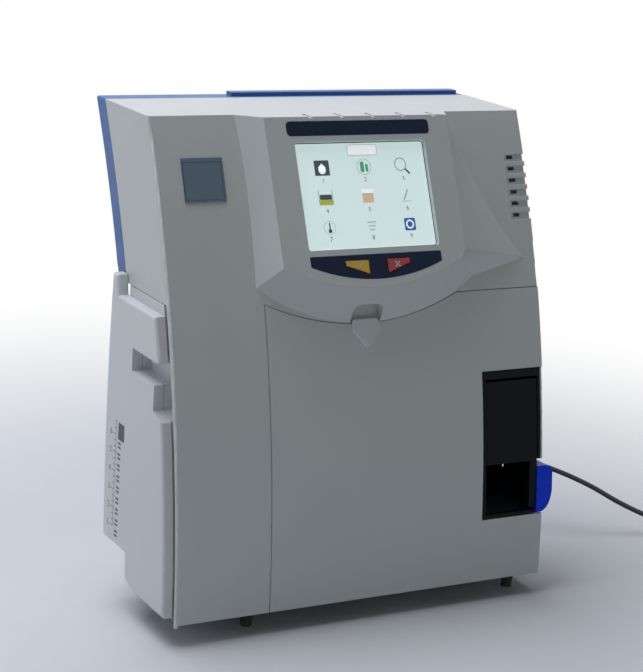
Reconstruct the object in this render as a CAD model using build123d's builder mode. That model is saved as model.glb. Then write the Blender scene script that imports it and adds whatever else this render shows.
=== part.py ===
import os
from math import cos, hypot, pi, radians, sin, sqrt, tan

from build123d import *

os.makedirs("parts", exist_ok=True)

# An electrolyte analyzer on four feet, in millimetres.
# +X is the operator's right, +Y is the back, and Z = 0 is the table.

# Outer body
body_width = 330.0
shell_height = 371.0
foot_height = 15.0
face_lean = 92.0
face_radius = 950.0
wall = 2.5
edge_round = 2.0
shell_depth = 71.0
cover_depth = 86.0
lower_depth = 122.0
ledge_height = 245.0
side_proud = 9.0
seam_gap = 0.3
running_fit = 0.05

# Screen pod
pod_centre = 6.0
pod_half_width = 81.5
pod_top_y = 78.5
pod_tilt = 24.3
pod_side_drop = 113.0
pod_middle_drop = 134.5
pod_root_depth = 24.0
pod_wall = 3.5
screen_width = 116.2
screen_height = 84.8
screen_drop = 62.0
name_bar_width = 126.4
name_bar_height = 11.0
name_bar_drop = 9.3
panel_thickness = 1.0
key_panel_half_width = 58.0
key_panel_top_drop = 109.0
key_panel_side_drop = 116.5
key_panel_middle_drop = 128.0
key_inner = 8.6
key_outer = 28.0
key_top_drop = 113.4
key_inner_drop = 123.8
key_outer_drop = 116.9
key_clearance = 0.35
key_travel = 0.6
key_rise = 1.2

# Front door
door_left = -85.5
door_top = shell_height - 135.0
door_dip = shell_height - 153.5
door_arc_right = 86.0
door_bottom = 2.0
door_gap = 0.6
door_thickness = 2.5
hinge_depth = 6.2
hinge_rise = 4.6
hinge_rod_radius = 1.4
hinge_boss_radius = 2.8
finger_recess_width = 26.5
finger_recess_height = 13.0

# Sampler at the right edge of the door
sampler_left = 107.0
sampler_bottom = 53.6
sampler_top = 172.0
sampler_back = 66.0
flap_bottom = 97.3
flap_top = 163.5
flap_pivot_rise = 160.0
flap_pivot_depth = 7.0
flap_thickness = 3.0
flap_pin_radius = 1.5
grip_notch_top = 98.5
grip_notch_depth = 17.0
grip_top = 92.5
grip_depth = 13.0
grip_proud = 9.0
needle_radius = 0.8

# Reagent pack and its bay on the left
pack_front_depth = 4.0
pack_top = 230.7
pack_tab_top = 246.0
pack_rear = 124.7
pack_rear_high = 122.2
pack_rear_low = 120.5
pack_step_y = 76.5
pack_low_z = 7.6
pack_high_z = 33.0
pack_tab_y = 113.0
pack_case_rear = 108.0
pack_case_wall = 2.0
bay_wall_x = -86.0
bay_sheet = 2.0
dock_gap = 8.0
grip_pocket_depth = 16.0

# Inside the access bay
bulkhead_y = 70.0
bulkhead_thickness = 2.0
electrode_count = 5
electrode_pitch = 16.6
electrode_width = 16.0
electrode_depth = 22.0
electrode_height = 38.0
rack_left = 8.0
rack_floor = 98.0
rack_wall = 4.0
pump_x = -40.0
pump_rise = 72.0
roller_count = 3
roller_radius = 4.5
roller_pin_radius = 1.2
rotor_pitch_radius = 14.5
pump_tube_radius = 2.0
pump_shaft_radius = 2.5
valve_radius = 9.0
valve_rise = 150.0
valve_places = (-62.0, -30.0)
tube_radius = 1.5

# Rear
rear_panel_y = 117.0
rear_panel_thickness = 2.0
socket_x = 120.0
socket_rise = 70.0
switch_x = 84.0
port_x = 40.0
vent_count = 6
vent_pitch = 8.8
vent_top = shell_height - 36.3
vent_height = 5.6
vent_start = 145.2
vent_reach = 24.0
vent_depth = 1.5
vent_hole_start = 3.0
vent_hole_width = 6.0
vent_hole_height = 2.8

# Power lead
lead_diameter = 4.5
coil_turn_step = 5.1
coil_layer_rise = 5.0
coil_outer_radius = 31.5
coil_half_turns = 5
coil_x = 440.0
coil_end_straight = 26.0

# Derived places
half_width = body_width / 2
chord = hypot(face_lean, shell_height)
chord_height = sqrt(face_radius ** 2 - chord ** 2 / 4)
arc_back = face_lean / 2 + chord_height * shell_height / chord
arc_rise = shell_height / 2 - chord_height * face_lean / chord
full_depth = arc_back - sqrt((face_radius - cover_depth) ** 2 - (shell_height - arc_rise) ** 2)
full_depth = max(full_depth, pack_rear)


def back(distance):
    """Y at a distance behind the front bottom edge of the body."""
    return distance - full_depth / 2


def up(rise):
    """Z at a height above the bottom edge of the body."""
    return rise + foot_height


def face_y(z, depth=0.0):
    """Y of the curve that lies a depth behind the leaning front face."""
    return back(arc_back) - sqrt((face_radius - depth) ** 2 - (z - up(arc_rise)) ** 2)


def face_point(z, depth=0.0):
    return (face_y(z, depth), z)


def face_arc(z_start, z_end, depth):
    """One arc of a side profile, concentric with the front face."""
    middle = (z_start + z_end) / 2
    return ThreePointArc(face_point(z_start, depth), face_point(middle, depth), face_point(z_end, depth))


def face_band(x_left, x_right, z_low, z_high, near, far, mode=Mode.ADD):
    """A curved plate between two depths behind the front face."""
    with BuildSketch(Plane.YZ.offset(x_left)) as profile:
        with BuildLine():
            face_arc(z_low, z_high, near)
            Line(face_point(z_high, near), face_point(z_high, far))
            face_arc(z_high, z_low, far)
            Line(face_point(z_low, far), face_point(z_low, near))
        make_face()
    extrude(profile.sketch, amount=x_right - x_left, mode=mode)


def face_block(x_left, x_right, z_low, z_high, near, y_back, mode=Mode.ADD):
    """A block whose front follows the face and whose back is upright."""
    with BuildSketch(Plane.YZ.offset(x_left)) as profile:
        with BuildLine():
            face_arc(z_low, z_high, near)
            Polyline(
                face_point(z_high, near),
                (y_back, z_high),
                (y_back, z_low),
                face_point(z_low, near),
            )
        make_face()
    extrude(profile.sketch, amount=x_right - x_left, mode=mode)


def block(x_left, x_right, y_front, y_back, z_low, z_high, mode=Mode.ADD):
    """A square box between three pairs of limits."""
    centre = ((x_left + x_right) / 2, (y_front + y_back) / 2, (z_low + z_high) / 2)
    with Locations(centre):
        Box(x_right - x_left, y_back - y_front, z_high - z_low, mode=mode)


def rod(start, end, radius, mode=Mode.ADD):
    """A round rod between two points."""
    axis = Vector(*end) - Vector(*start)
    with BuildSketch(Plane(origin=start, z_dir=axis)) as section:
        Circle(radius)
    extrude(section.sketch, amount=axis.length, mode=mode)


def finish(part, name):
    """Names a finished piece and writes it."""
    part.label = name
    export_step(part, "parts/" + name + ".step")


body_top = up(shell_height)
body_bottom = up(0)
far_front = back(-50.0)
far_back = back(260.0)
ledge_z = up(ledge_height)
rear_y = back(lower_depth)
pack_side_x = -half_width - side_proud

pod_plane = Plane(
    origin=(pod_centre, back(pod_top_y), body_top),
    x_dir=(1, 0, 0),
    z_dir=(0, -cos(radians(pod_tilt)), sin(radians(pod_tilt))),
)


# Screen pod, a raised wedge on the leaning face
pod_over = 12.0
chin_end = 76.0
chin_end_drop = 116.2
pod_corner_drop = 108.0
root_left_top = -118.0
root_left_low = -102.0
root_low_drop = 130.4
root_middle_drop = 159.7
root_chin_end = 102.0
root_right_low = 172.0
root_right_drop = 118.0
root_right_top = 88.0
finger_recess_x = 0.6


def pod_arc(left, left_drop, middle_drop, right):
    """The lower arc of a pod outline, level at its two ends."""
    return ThreePointArc((left, -left_drop), ((left + right) / 2, -middle_drop), (right, -left_drop))


with BuildPart() as pod_wedge:
    with BuildSketch(pod_plane):
        with BuildLine():
            Line((-pod_half_width, pod_over), (-pod_half_width, -chin_end_drop))
            pod_arc(-pod_half_width, chin_end_drop, pod_middle_drop, chin_end)
            Line((chin_end, -chin_end_drop), (pod_half_width, -pod_corner_drop))
            Line((pod_half_width, -pod_corner_drop), (pod_half_width, pod_over))
            Line((pod_half_width, pod_over), (-pod_half_width, pod_over))
        make_face()
    with BuildSketch(pod_plane.offset(-pod_root_depth)):
        with BuildLine():
            Line((root_left_top, pod_over), (root_left_low, -root_low_drop))
            pod_arc(root_left_low, root_low_drop, root_middle_drop, root_chin_end)
            Line((root_chin_end, -root_low_drop), (root_right_low, -root_right_drop))
            Line((root_right_low, -root_right_drop), (root_right_top, pod_over))
            Line((root_right_top, pod_over), (root_left_top, pod_over))
        make_face()
    loft(ruled=True)
    over_top = body_top + 40
    beside = 2 * half_width
    block(-beside, beside, far_front, far_back, body_top, over_top, mode=Mode.SUBTRACT)
    block(half_width, beside, far_front, far_back, 0, body_top, mode=Mode.SUBTRACT)
    face_block(-half_width, half_width, body_bottom, body_top, wall / 2, far_back, mode=Mode.SUBTRACT)


def door_outline(inset, right_limit):
    """The door's outline in the front view, drawn inside the opening's edge."""
    left = door_left + inset
    top = up(door_top) - inset
    bottom = up(door_bottom)
    with BuildSketch(Plane.XZ) as outline:
        with BuildLine():
            Line((left, bottom), (left, top))
            ThreePointArc(
                (left, top),
                ((left + door_arc_right) / 2, up(door_dip) - inset),
                (door_arc_right, top),
            )
            Polyline((door_arc_right, top), (right_limit, top), (right_limit, bottom), (left, bottom))
        make_face()
    return outline.sketch


# White front shell
door_seat = door_thickness + door_gap
inside = half_width - wall
left_wall_bottom = up(239.0)
pod_cavity_half = 76.0
pod_cavity_top = 8.0
pod_cavity_bottom = 110.0
pod_cavity_depth = 60.0
key_cavity_half = 40.0
key_cavity_bottom = 126.0
key_cavity_depth = 20.0
groove_count = 5
groove_pitch = 27.7
groove_x = 20.0
groove_width = 3.0
groove_depth = 1.2
groove_length = 12.0


def drop_box(left, right, top_drop, bottom_drop, corner):
    """A rounded rectangle on the pod plane, placed by its drop below the pod's top."""
    with BuildSketch() as outline:
        with Locations(((left + right) / 2, -(top_drop + bottom_drop) / 2)):
            RectangleRounded(right - left, bottom_drop - top_drop, corner)
    return outline.sketch


def key_panel_shape(inset):
    """The crescent below the screen."""
    side = key_panel_half_width - inset
    with BuildSketch() as outline:
        with BuildLine():
            Polyline(
                (-side, -key_panel_side_drop + inset),
                (-side, -key_panel_top_drop - inset),
                (side, -key_panel_top_drop - inset),
                (side, -key_panel_side_drop + inset),
            )
            pod_arc(-side, key_panel_side_drop - inset, key_panel_middle_drop - inset, side)
        make_face()
    return outline.sketch


def key_shape(side, grow):
    """One key, mirrored by its side, with its lower edge slanting up and outward."""
    with BuildSketch() as outline:
        with BuildLine():
            Polyline(
                (side * (key_inner - grow), -key_top_drop + grow),
                (side * (key_outer + grow), -key_top_drop + grow),
                (side * (key_outer + grow), -key_outer_drop - grow),
                (side * (key_inner - grow), -key_inner_drop - grow),
                close=True,
            )
        make_face()
    return outline.sketch


def on_pod(sketch, from_height, to_height, mode=Mode.ADD):
    """Extrudes a flat shape between two heights along the pod's normal."""
    extrude(pod_plane.offset(from_height) * sketch, amount=to_height - from_height, mode=mode)


display_window = drop_box(
    -screen_width / 2,
    screen_width / 2,
    screen_drop - screen_height / 2,
    screen_drop + screen_height / 2,
    3.0,
)
name_bar_shape = drop_box(
    -name_bar_width / 2,
    name_bar_width / 2,
    name_bar_drop - name_bar_height / 2,
    name_bar_drop + name_bar_height / 2,
    3.0,
)

with BuildPart() as shell:
    with BuildSketch(Plane.YZ.offset(-half_width)):
        with BuildLine():
            face_arc(body_bottom, body_top, 0)
            Line(face_point(body_top), face_point(body_top, shell_depth))
            face_arc(body_top, ledge_z, shell_depth)
            Polyline(
                face_point(ledge_z, shell_depth),
                (rear_y, ledge_z),
                (rear_y, body_bottom),
                face_point(body_bottom),
            )
        make_face()
    extrude(amount=body_width)
    side_faces = faces().filter_by(Axis.X)
    fillet(side_faces.edges().group_by(Axis.Y)[0], radius=edge_round)
    face_block(-inside, inside, body_bottom - 1, body_top - wall, wall, far_back, mode=Mode.SUBTRACT)
    add(pod_wedge.part)
    # Space inside the pod, behind its face
    pod_cavity = drop_box(-pod_cavity_half, pod_cavity_half, pod_cavity_top, pod_cavity_bottom, 2.0)
    key_cavity = drop_box(-key_cavity_half, key_cavity_half, pod_cavity_bottom - 2, key_cavity_bottom, 0.5)
    on_pod(pod_cavity, -pod_wall, -pod_cavity_depth, mode=Mode.SUBTRACT)
    on_pod(key_cavity, -pod_wall, -key_cavity_depth, mode=Mode.SUBTRACT)
    # Windows and seats in the pod's face
    on_pod(display_window, -2 * pod_wall, pod_wall, mode=Mode.SUBTRACT)
    on_pod(offset(name_bar_shape, amount=0.2), -panel_thickness, pod_wall, mode=Mode.SUBTRACT)
    on_pod(key_panel_shape(-0.2), -panel_thickness, pod_wall, mode=Mode.SUBTRACT)
    for side in (-1, 1):
        on_pod(key_shape(side, key_clearance), -2 * pod_wall, pod_wall, mode=Mode.SUBTRACT)
    # Small grooves over the pod's top edge
    for index in range(groove_count):
        x = groove_x + (index - (groove_count - 1) / 2) * groove_pitch
        groove_y = back(pod_top_y)
        block(
            x - groove_width / 2,
            x + groove_width / 2,
            groove_y - 5,
            groove_y + groove_length,
            body_top - groove_depth,
            body_top + 5,
            mode=Mode.SUBTRACT,
        )
    # Door opening, its finger recess, and the seats in the right wall
    under = body_bottom - 1
    extrude(door_outline(0, inside), amount=full_depth / 2 + 10, mode=Mode.SUBTRACT)
    block(-inside, inside, far_front, back(60), under, up(door_bottom), mode=Mode.SUBTRACT)
    recess_z = up(door_dip) + finger_recess_height / 2
    recess_left = finger_recess_x - finger_recess_width / 2
    recess_right = finger_recess_x + finger_recess_width / 2
    recess_high = recess_z + finger_recess_height / 2 + 3
    face_band(
        recess_left - wall,
        recess_right + wall,
        up(door_dip) + 1.2,
        recess_high + wall,
        wall / 2,
        door_seat + wall,
    )
    with BuildSketch(Plane.XZ) as recess:
        with Locations((finger_recess_x, recess_z)):
            RectangleRounded(finger_recess_width, finger_recess_height + 6, 7.0)
    with BuildPart(mode=Mode.PRIVATE) as recess_cut:
        extrude(recess.sketch, amount=full_depth / 2 + 10)
        recess_under = up(door_dip) - 20
        face_band(
            recess_left - 1,
            recess_right + 1,
            recess_under,
            recess_high + 1,
            -25,
            door_seat,
            mode=Mode.INTERSECT,
        )
    add(recess_cut.part, mode=Mode.SUBTRACT)
    cut_left = inside - 1
    cut_right = half_width + 1
    notch_low = up(sampler_bottom) - 1
    lip_sweep = hinge_depth + hypot(hinge_depth, hinge_rise - door_bottom) + door_gap
    face_band(cut_left, cut_right, under, up(sampler_bottom), -1, door_seat, mode=Mode.SUBTRACT)
    face_band(cut_left, cut_right, up(sampler_top), up(door_top), -1, door_seat, mode=Mode.SUBTRACT)
    face_band(cut_left, cut_right, notch_low, up(grip_notch_top), -1, grip_notch_depth, mode=Mode.SUBTRACT)
    face_band(cut_left, cut_right, under, up(hinge_rise) + 1, -1, lip_sweep, mode=Mode.SUBTRACT)
    # Open left side for the reagent pack
    face_block(-half_width - 1, -inside + 0.1, under, left_wall_bottom, wall, far_back, mode=Mode.SUBTRACT)
    # Place for the back cover's skirt
    skirt_room = left_wall_bottom - 1
    room_right = -inside + 0.1
    face_block(
        -half_width - 1,
        room_right,
        skirt_room,
        ledge_z + 1,
        shell_depth,
        far_back,
        mode=Mode.SUBTRACT,
    )
    # Vent slots round the right front corner
    for index in range(vent_count):
        z = up(vent_top - index * vent_pitch)
        low = z - vent_height / 2
        high = z + vent_height / 2
        hole_low = z - vent_hole_height / 2 + 0.4
        hole_high = z + vent_hole_height / 2 + 0.4
        hole_left = vent_start + vent_hole_start
        face_band(vent_start, half_width + 1, low, high, -1, vent_depth, mode=Mode.SUBTRACT)
        face_band(half_width - vent_depth, half_width + 1, low, high, -1, vent_reach, mode=Mode.SUBTRACT)
        face_band(
            hole_left,
            hole_left + vent_hole_width,
            hole_low,
            hole_high,
            -1,
            wall + 1,
            mode=Mode.SUBTRACT,
        )
        face_band(
            inside - 1,
            half_width + 1,
            hole_low,
            hole_high,
            vent_reach / 2,
            vent_reach / 2 + vent_hole_width,
            mode=Mode.SUBTRACT,
        )
finish(shell.part, "shell")


# Blue back cover
cover_wall = 2.0
cover_bottom = up(247.0)
cover_front = shell_depth + seam_gap
cover_rib_left = -53.6
cover_rib_right = 159.9
cover_rib_height = 3.0
skirt_length = 14.0
cover_vent_count = 9
cover_vent_pitch = 9.0
cover_vent_width = 150.0
cover_vent_height = 4.0
with BuildPart() as back_cover:
    face_band(-half_width, half_width, cover_bottom, body_top, cover_front, cover_depth)
    outer_edges = faces().filter_by(Axis.X).edges().group_by(Axis.Y)
    fillet(outer_edges[-1], radius=edge_round)
    face_band(
        -half_width + cover_wall,
        half_width - cover_wall,
        cover_bottom + cover_wall,
        body_top - cover_wall,
        cover_front - 1,
        cover_depth - cover_wall,
        mode=Mode.SUBTRACT,
    )
    rib_back = face_y(body_top, cover_depth) - edge_round
    block(cover_rib_left, cover_rib_right, rib_back - 9, rib_back, body_top, body_top + cover_rib_height)
    # Skirt at the left, down to the lower edge of the shell's side
    face_band(
        -half_width,
        -half_width + cover_wall,
        left_wall_bottom,
        cover_bottom + 1,
        cover_front,
        cover_front + skirt_length,
    )
    for index in range(cover_vent_count):
        z = cover_bottom + 22 + index * cover_vent_pitch
        face_band(
            -cover_vent_width / 2,
            cover_vent_width / 2,
            z,
            z + cover_vent_height,
            cover_depth - cover_wall - 1,
            cover_depth + 5,
            mode=Mode.SUBTRACT,
        )
finish(back_cover.part, "back_cover")


# Screen, its housing, the bare name bar, the key panel and the keys
glass_thickness = 1.4
glass_border = 1.6
glass_front = -pod_wall - 0.2
glass_back = glass_front - glass_thickness
display_case_depth = 15.0
key_flange = 1.5
key_rest = -pod_wall - seam_gap
key_flange_thickness = 1.2
display_case_border = 4.0
screen_shape = offset(display_window, amount=glass_border, kind=Kind.INTERSECTION)
display_case_shape = offset(display_window, amount=display_case_border, kind=Kind.INTERSECTION)
with BuildPart() as display_screen:
    on_pod(screen_shape, glass_back, glass_front)
finish(display_screen.part, "display_screen")

with BuildPart() as display_case:
    on_pod(display_case_shape, glass_back - display_case_depth, glass_back)
finish(display_case.part, "display_case")

with BuildPart() as name_bar:
    on_pod(name_bar_shape, -panel_thickness, 0.2)
finish(name_bar.part, "name_bar")

with BuildPart() as key_panel:
    on_pod(key_panel_shape(0), -panel_thickness, 0.2)
    for side in (-1, 1):
        on_pod(key_shape(side, key_clearance), -5, 5, mode=Mode.SUBTRACT)
finish(key_panel.part, "key_panel")

for name, side in (("yes_key", -1), ("no_key", 1)):
    with BuildPart() as key:
        on_pod(key_shape(side, 0), key_rest, key_rise)
        on_pod(key_shape(side, key_flange), key_rest - key_flange_thickness, key_rest)
    finish(key.part, name)

# Bare badge plate on the left of the face
badge_left = -half_width + 22.0
badge_right = badge_left + 33.8
badge_high = shell_height - 29.7
badge_low = badge_high - 30.7
badge_thickness = 1.0
with BuildPart() as badge_plate:
    face_band(badge_left, badge_right, up(badge_low), up(badge_high), -badge_thickness, 0)
finish(badge_plate.part, "badge_plate")


# Front door, hinged along its bottom edge
door_right = half_width - 0.3
hinge_y = back(hinge_depth)
hinge_z = up(hinge_rise)
knuckle_radius = 3.6
knuckle_width = 14.0
knuckle_places = (-66.0, 40.0, half_width - 19.0)
pull_half_width = 12.0
pull_height = 17.0
pull_tab = 4.0
pull_top_rise = 1.6
pull_tip_rise = 4.0
pull_corner = 3.0
with BuildPart() as door:
    face_band(door_left, door_right, body_bottom, up(door_top), 0, door_thickness)
    extrude(door_outline(door_gap, door_right), amount=full_depth / 2 + 10, mode=Mode.INTERSECT)
    face_band(
        sampler_left - door_gap,
        half_width + 1,
        up(sampler_bottom) - door_gap,
        up(sampler_top) + door_gap,
        -5,
        door_thickness + 5,
        mode=Mode.SUBTRACT,
    )
    for x in knuckle_places:
        left = x - knuckle_width / 2
        right = x + knuckle_width / 2
        arm_front = face_y(hinge_z, door_thickness / 2)
        rod((left, hinge_y, hinge_z), (right, hinge_y, hinge_z), knuckle_radius)
        block(left, right, arm_front, hinge_y, hinge_z - 1.5, hinge_z + knuckle_radius)
        rod(
            (left - 1, hinge_y, hinge_z),
            (right + 1, hinge_y, hinge_z),
            hinge_rod_radius + running_fit,
            mode=Mode.SUBTRACT,
        )
finish(door.part, "door")

pull_seam = up(door_dip) - door_gap
pull_top = pull_seam + pull_tab
pull_tip = pull_seam - pull_height
pull_shoulder = pull_half_width - pull_corner
with BuildSketch(Plane.XZ) as pull_core:
    with BuildLine():
        Polyline(
            (finger_recess_x - pull_shoulder, pull_top - pull_corner),
            (finger_recess_x + pull_shoulder, pull_top - pull_corner),
            (finger_recess_x + pull_shoulder, pull_seam - pull_corner - 1),
            (finger_recess_x, pull_tip + pull_corner),
            (finger_recess_x - pull_shoulder, pull_seam - pull_corner - 1),
            close=True,
        )
    make_face()
pull_outline = offset(pull_core.sketch, amount=pull_corner, kind=Kind.ARC)
with BuildPart() as door_pull:
    with BuildSketch(Plane.YZ.offset(finger_recess_x - pull_half_width - 1)) as pull_lean:
        with BuildLine():
            face_arc(pull_tip - 1, pull_top + 1, 0)
            Polyline(
                face_point(pull_top + 1, 0),
                face_point(pull_top + 1, -pull_top_rise),
                face_point(pull_tip - 1, -pull_tip_rise),
                face_point(pull_tip - 1, 0),
            )
        make_face()
    extrude(pull_lean.sketch, amount=2 * pull_half_width + 2)
    extrude(pull_outline, amount=full_depth, mode=Mode.INTERSECT)
    fillet(faces().sort_by(Axis.Y)[0].edges(), radius=0.8)
finish(door_pull.part, "door_pull")

hinge_rod_left = door_left + 1.0
hinge_rod_right = 160.0
with BuildPart() as hinge_rod:
    rod((hinge_rod_left, hinge_y, hinge_z), (hinge_rod_right, hinge_y, hinge_z), hinge_rod_radius)
finish(hinge_rod.part, "door_hinge_rod")

# Base tray with hinge lugs, pack rails and screw bosses
tray_front = back(15.0)
tray_rear = back(lower_depth - 3.0)
tray_thickness = 3.0
tray_left = -half_width + 5.0
tray_right = inside - seam_gap
tray_corner_x = -half_width + 27.0
tray_corner_y = back(pack_step_y)
lug_width = 5.0
lug_back = tray_front + 8.0
lug_arm_drop = 1.2
rail_width = 6.0
rail_left = tray_left + 2.0
rail_right = bay_wall_x - bay_sheet - 8.0
rail_places = (24.0, 62.0)
case_low = up(10.0)
with BuildPart() as base_tray:
    with BuildSketch(Plane.XY.offset(body_bottom)):
        with BuildLine():
            Polyline(
                (tray_left, tray_front),
                (tray_right, tray_front),
                (tray_right, tray_rear),
                (tray_corner_x, tray_rear),
                (tray_corner_x, tray_corner_y),
                (tray_left, tray_corner_y),
                close=True,
            )
        make_face()
    extrude(amount=tray_thickness)
    for x in knuckle_places:
        for side in (-1, 1):
            lug_x = x + side * (knuckle_width / 2 + seam_gap + lug_width / 2)
            left = lug_x - lug_width / 2
            right = lug_x + lug_width / 2
            rod((left, hinge_y, hinge_z), (right, hinge_y, hinge_z), hinge_boss_radius)
            block(left, right, hinge_y, lug_back, hinge_z - lug_arm_drop, hinge_z + hinge_boss_radius)
            block(left, right, tray_front, lug_back, body_bottom, hinge_z)
            rod(
                (left - 1, hinge_y, hinge_z),
                (right + 1, hinge_y, hinge_z),
                hinge_rod_radius + running_fit,
                mode=Mode.SUBTRACT,
            )
    for rail_y in rail_places:
        rail_front = back(rail_y) - rail_width / 2
        rail_low = body_bottom + tray_thickness / 2
        block(
            rail_left,
            rail_right,
            rail_front,
            rail_front + rail_width,
            rail_low,
            case_low - seam_gap,
        )
finish(base_tray.part, "base_tray")

# Four feet
foot_radius = 5.4
foot_left = -94.2
foot_right = half_width - 16.5
foot_front = tray_front + foot_radius + 0.2
foot_rear = back(108.0)
with BuildPart() as feet:
    for x in (foot_left, foot_right):
        for y in (foot_front, foot_rear):
            with Locations((x, y, foot_height / 2)):
                Cone(foot_radius - 1, foot_radius, foot_height)
finish(feet.part, "feet")

# Sheet liner of the reagent bay
bay_left = -half_width + 2.8
bay_top = ledge_z - 9.0
bay_rear = back(pack_case_rear + 4.0)
bay_front_depth = door_thickness + 0.5
high_floor = up(pack_high_z)
liner_floor = high_floor - 1.5
bay_sheet_left = bay_wall_x - bay_sheet
tray_top = body_bottom + tray_thickness
hinge_relief_back = back(20.0)
hinge_relief_top = up(14.0)
with BuildPart() as bay_liner:
    face_block(bay_sheet_left, bay_wall_x, tray_top, bay_top, bay_front_depth, bay_rear)
    block(
        bay_sheet_left,
        bay_wall_x,
        back(0),
        hinge_relief_back,
        body_bottom,
        hinge_relief_top,
        mode=Mode.SUBTRACT,
    )
    face_block(bay_left, bay_wall_x, bay_top, bay_top + bay_sheet, bay_front_depth, bay_rear)
    block(bay_left, bay_wall_x, bay_rear, bay_rear + bay_sheet, liner_floor, bay_top + bay_sheet)
    block(bay_left, bay_wall_x, back(pack_step_y) + 1, bay_rear, liner_floor, liner_floor + 1.2)
finish(bay_liner.part, "bay_liner")

# Reagent pack, drawn out to the left
pack_back_high = back(pack_rear_high)
pack_back_low = back(pack_rear_low)
pack_back_middle = back(pack_rear)
grip_low = up(179.6)
grip_high = up(197.5)
grip_rear = back(79.0)
scoop_rear = back(38.0)
scoop_low = up(146.0)
scoop_back_low = up(160.5)
scoop_high = up(203.0)
case_inner_x = bay_sheet_left - dock_gap
case_outer_x = -half_width - seam_gap


def grip_cut(x_left, x_right):
    """The finger pocket and the scoop that leads into it from the front."""
    front = face_y(up(100), 0) - 30
    block(x_left, x_right, scoop_rear - 3, grip_rear, grip_low, grip_high, mode=Mode.SUBTRACT)
    with BuildSketch(Plane.YZ.offset(x_left)) as scoop:
        with BuildLine():
            Polyline(
                (front, scoop_low - 8),
                (scoop_rear, scoop_back_low),
                (scoop_rear, grip_high - 1),
                (front + 30, scoop_high),
                (front, scoop_high),
                close=True,
            )
        make_face()
    extrude(scoop.sketch, amount=x_right - x_left, mode=Mode.SUBTRACT)


with BuildPart() as pack_face:
    low = up(pack_low_z)
    high = up(pack_top)
    tab_high = up(pack_tab_top)
    with BuildSketch(Plane.YZ.offset(pack_side_x)):
        with BuildLine():
            face_arc(low, high, pack_front_depth)
            Polyline(
                face_point(high, pack_front_depth),
                (back(pack_tab_y) - 3, high),
                (back(pack_tab_y), tab_high),
                (pack_back_high, tab_high),
            )
            ThreePointArc(
                (pack_back_high, tab_high),
                (pack_back_middle, (tab_high + high_floor) / 2),
                (pack_back_low, high_floor),
            )
            Polyline(
                (pack_back_low, high_floor),
                (back(pack_step_y) + 2, high_floor),
                (back(pack_step_y), up(13)),
                (back(pack_step_y) - 12.5, low),
                face_point(low, pack_front_depth),
            )
        make_face()
    extrude(amount=side_proud - 0.5)
    outer_face = faces().sort_by(Axis.X)[0]
    fillet(outer_face.edges(), radius=2.5)
    grip_cut(pack_side_x - 1, -half_width)
finish(pack_face.part, "pack_face")

case_front_depth = pack_front_depth + 1.5
case_high = up(231.0)
case_step = back(pack_step_y) - 3
case_rear = back(pack_case_rear)
case_high_floor = high_floor + 1.5
dock_y = back(64.0)
dock_z = up(76.0)
dock_window_half_depth = 20.0
dock_window_half_height = 10.0
with BuildPart() as pack_case:
    face_block(case_outer_x, case_inner_x, case_low, case_high, case_front_depth, case_rear)
    block(
        case_outer_x - 1,
        case_inner_x + 1,
        case_step,
        case_rear + 1,
        case_low - 1,
        case_high_floor,
        mode=Mode.SUBTRACT,
    )
    x_in = case_outer_x + pack_case_wall
    face_block(
        x_in,
        case_inner_x - pack_case_wall,
        case_low + pack_case_wall,
        case_high - pack_case_wall,
        case_front_depth + pack_case_wall,
        case_step - pack_case_wall,
        mode=Mode.SUBTRACT,
    )
    block(
        x_in,
        case_inner_x - pack_case_wall,
        case_step - pack_case_wall - 1,
        case_rear - pack_case_wall,
        case_high_floor + pack_case_wall,
        case_high - pack_case_wall,
        mode=Mode.SUBTRACT,
    )
    tub_back = case_outer_x + grip_pocket_depth - side_proud + 2 * pack_case_wall
    face_block(
        x_in - 1,
        tub_back,
        scoop_low - 12,
        scoop_high + 2,
        case_front_depth + 1,
        grip_rear + pack_case_wall,
    )
    grip_cut(case_outer_x - 1, case_outer_x + grip_pocket_depth - side_proud)
    # Upright lip that closes the gap under the shell
    face_block(
        case_outer_x,
        case_outer_x + pack_case_wall,
        case_high - 1,
        left_wall_bottom - 2 * seam_gap,
        case_front_depth,
        case_rear,
    )
    block(
        case_inner_x - pack_case_wall - 1,
        case_inner_x + 1,
        dock_y - dock_window_half_depth,
        dock_y + dock_window_half_depth,
        dock_z - dock_window_half_height,
        dock_z + dock_window_half_height,
        mode=Mode.SUBTRACT,
    )
finish(pack_case.part, "pack_case")

# Dock of the pack: four probes on the analyzer, four bores in the pack
probe_count = 4
probe_pitch = 8.0
probe_radius = 1.5
probe_bore = 2.0
probe_length = 9.0
dock_half_depth = 18.0
dock_half_height = 8.0
probe_ys = [dock_y + (index - (probe_count - 1) / 2) * probe_pitch for index in range(probe_count)]
dock_face_x = bay_sheet_left - dock_gap + 1.0
with BuildPart() as dock_block:
    block(
        dock_face_x,
        bay_sheet_left,
        dock_y - dock_half_depth,
        dock_y + dock_half_depth,
        dock_z - dock_half_height,
        dock_z + dock_half_height,
    )
    for y in probe_ys:
        rod((dock_face_x - probe_length, y, dock_z), (dock_face_x + 1, y, dock_z), probe_radius)
finish(dock_block.part, "dock_block")

port_face_x = case_inner_x - 0.5
with BuildPart() as pack_ports:
    block(
        port_face_x - 12,
        port_face_x,
        dock_y - dock_window_half_depth + seam_gap,
        dock_y + dock_window_half_depth - seam_gap,
        dock_z - dock_window_half_height + seam_gap,
        dock_z + dock_window_half_height - seam_gap,
    )
    for y in probe_ys:
        rod((port_face_x - 10, y, dock_z), (port_face_x + 1, y, dock_z), probe_bore, mode=Mode.SUBTRACT)
finish(pack_ports.part, "pack_ports")

# Bottles inside the pack
bottle_gap = 0.4
bottle_left = tub_back + bottle_gap
bottle_right = case_inner_x - pack_case_wall - 12.5
bottle_corner = 4.0


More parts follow.
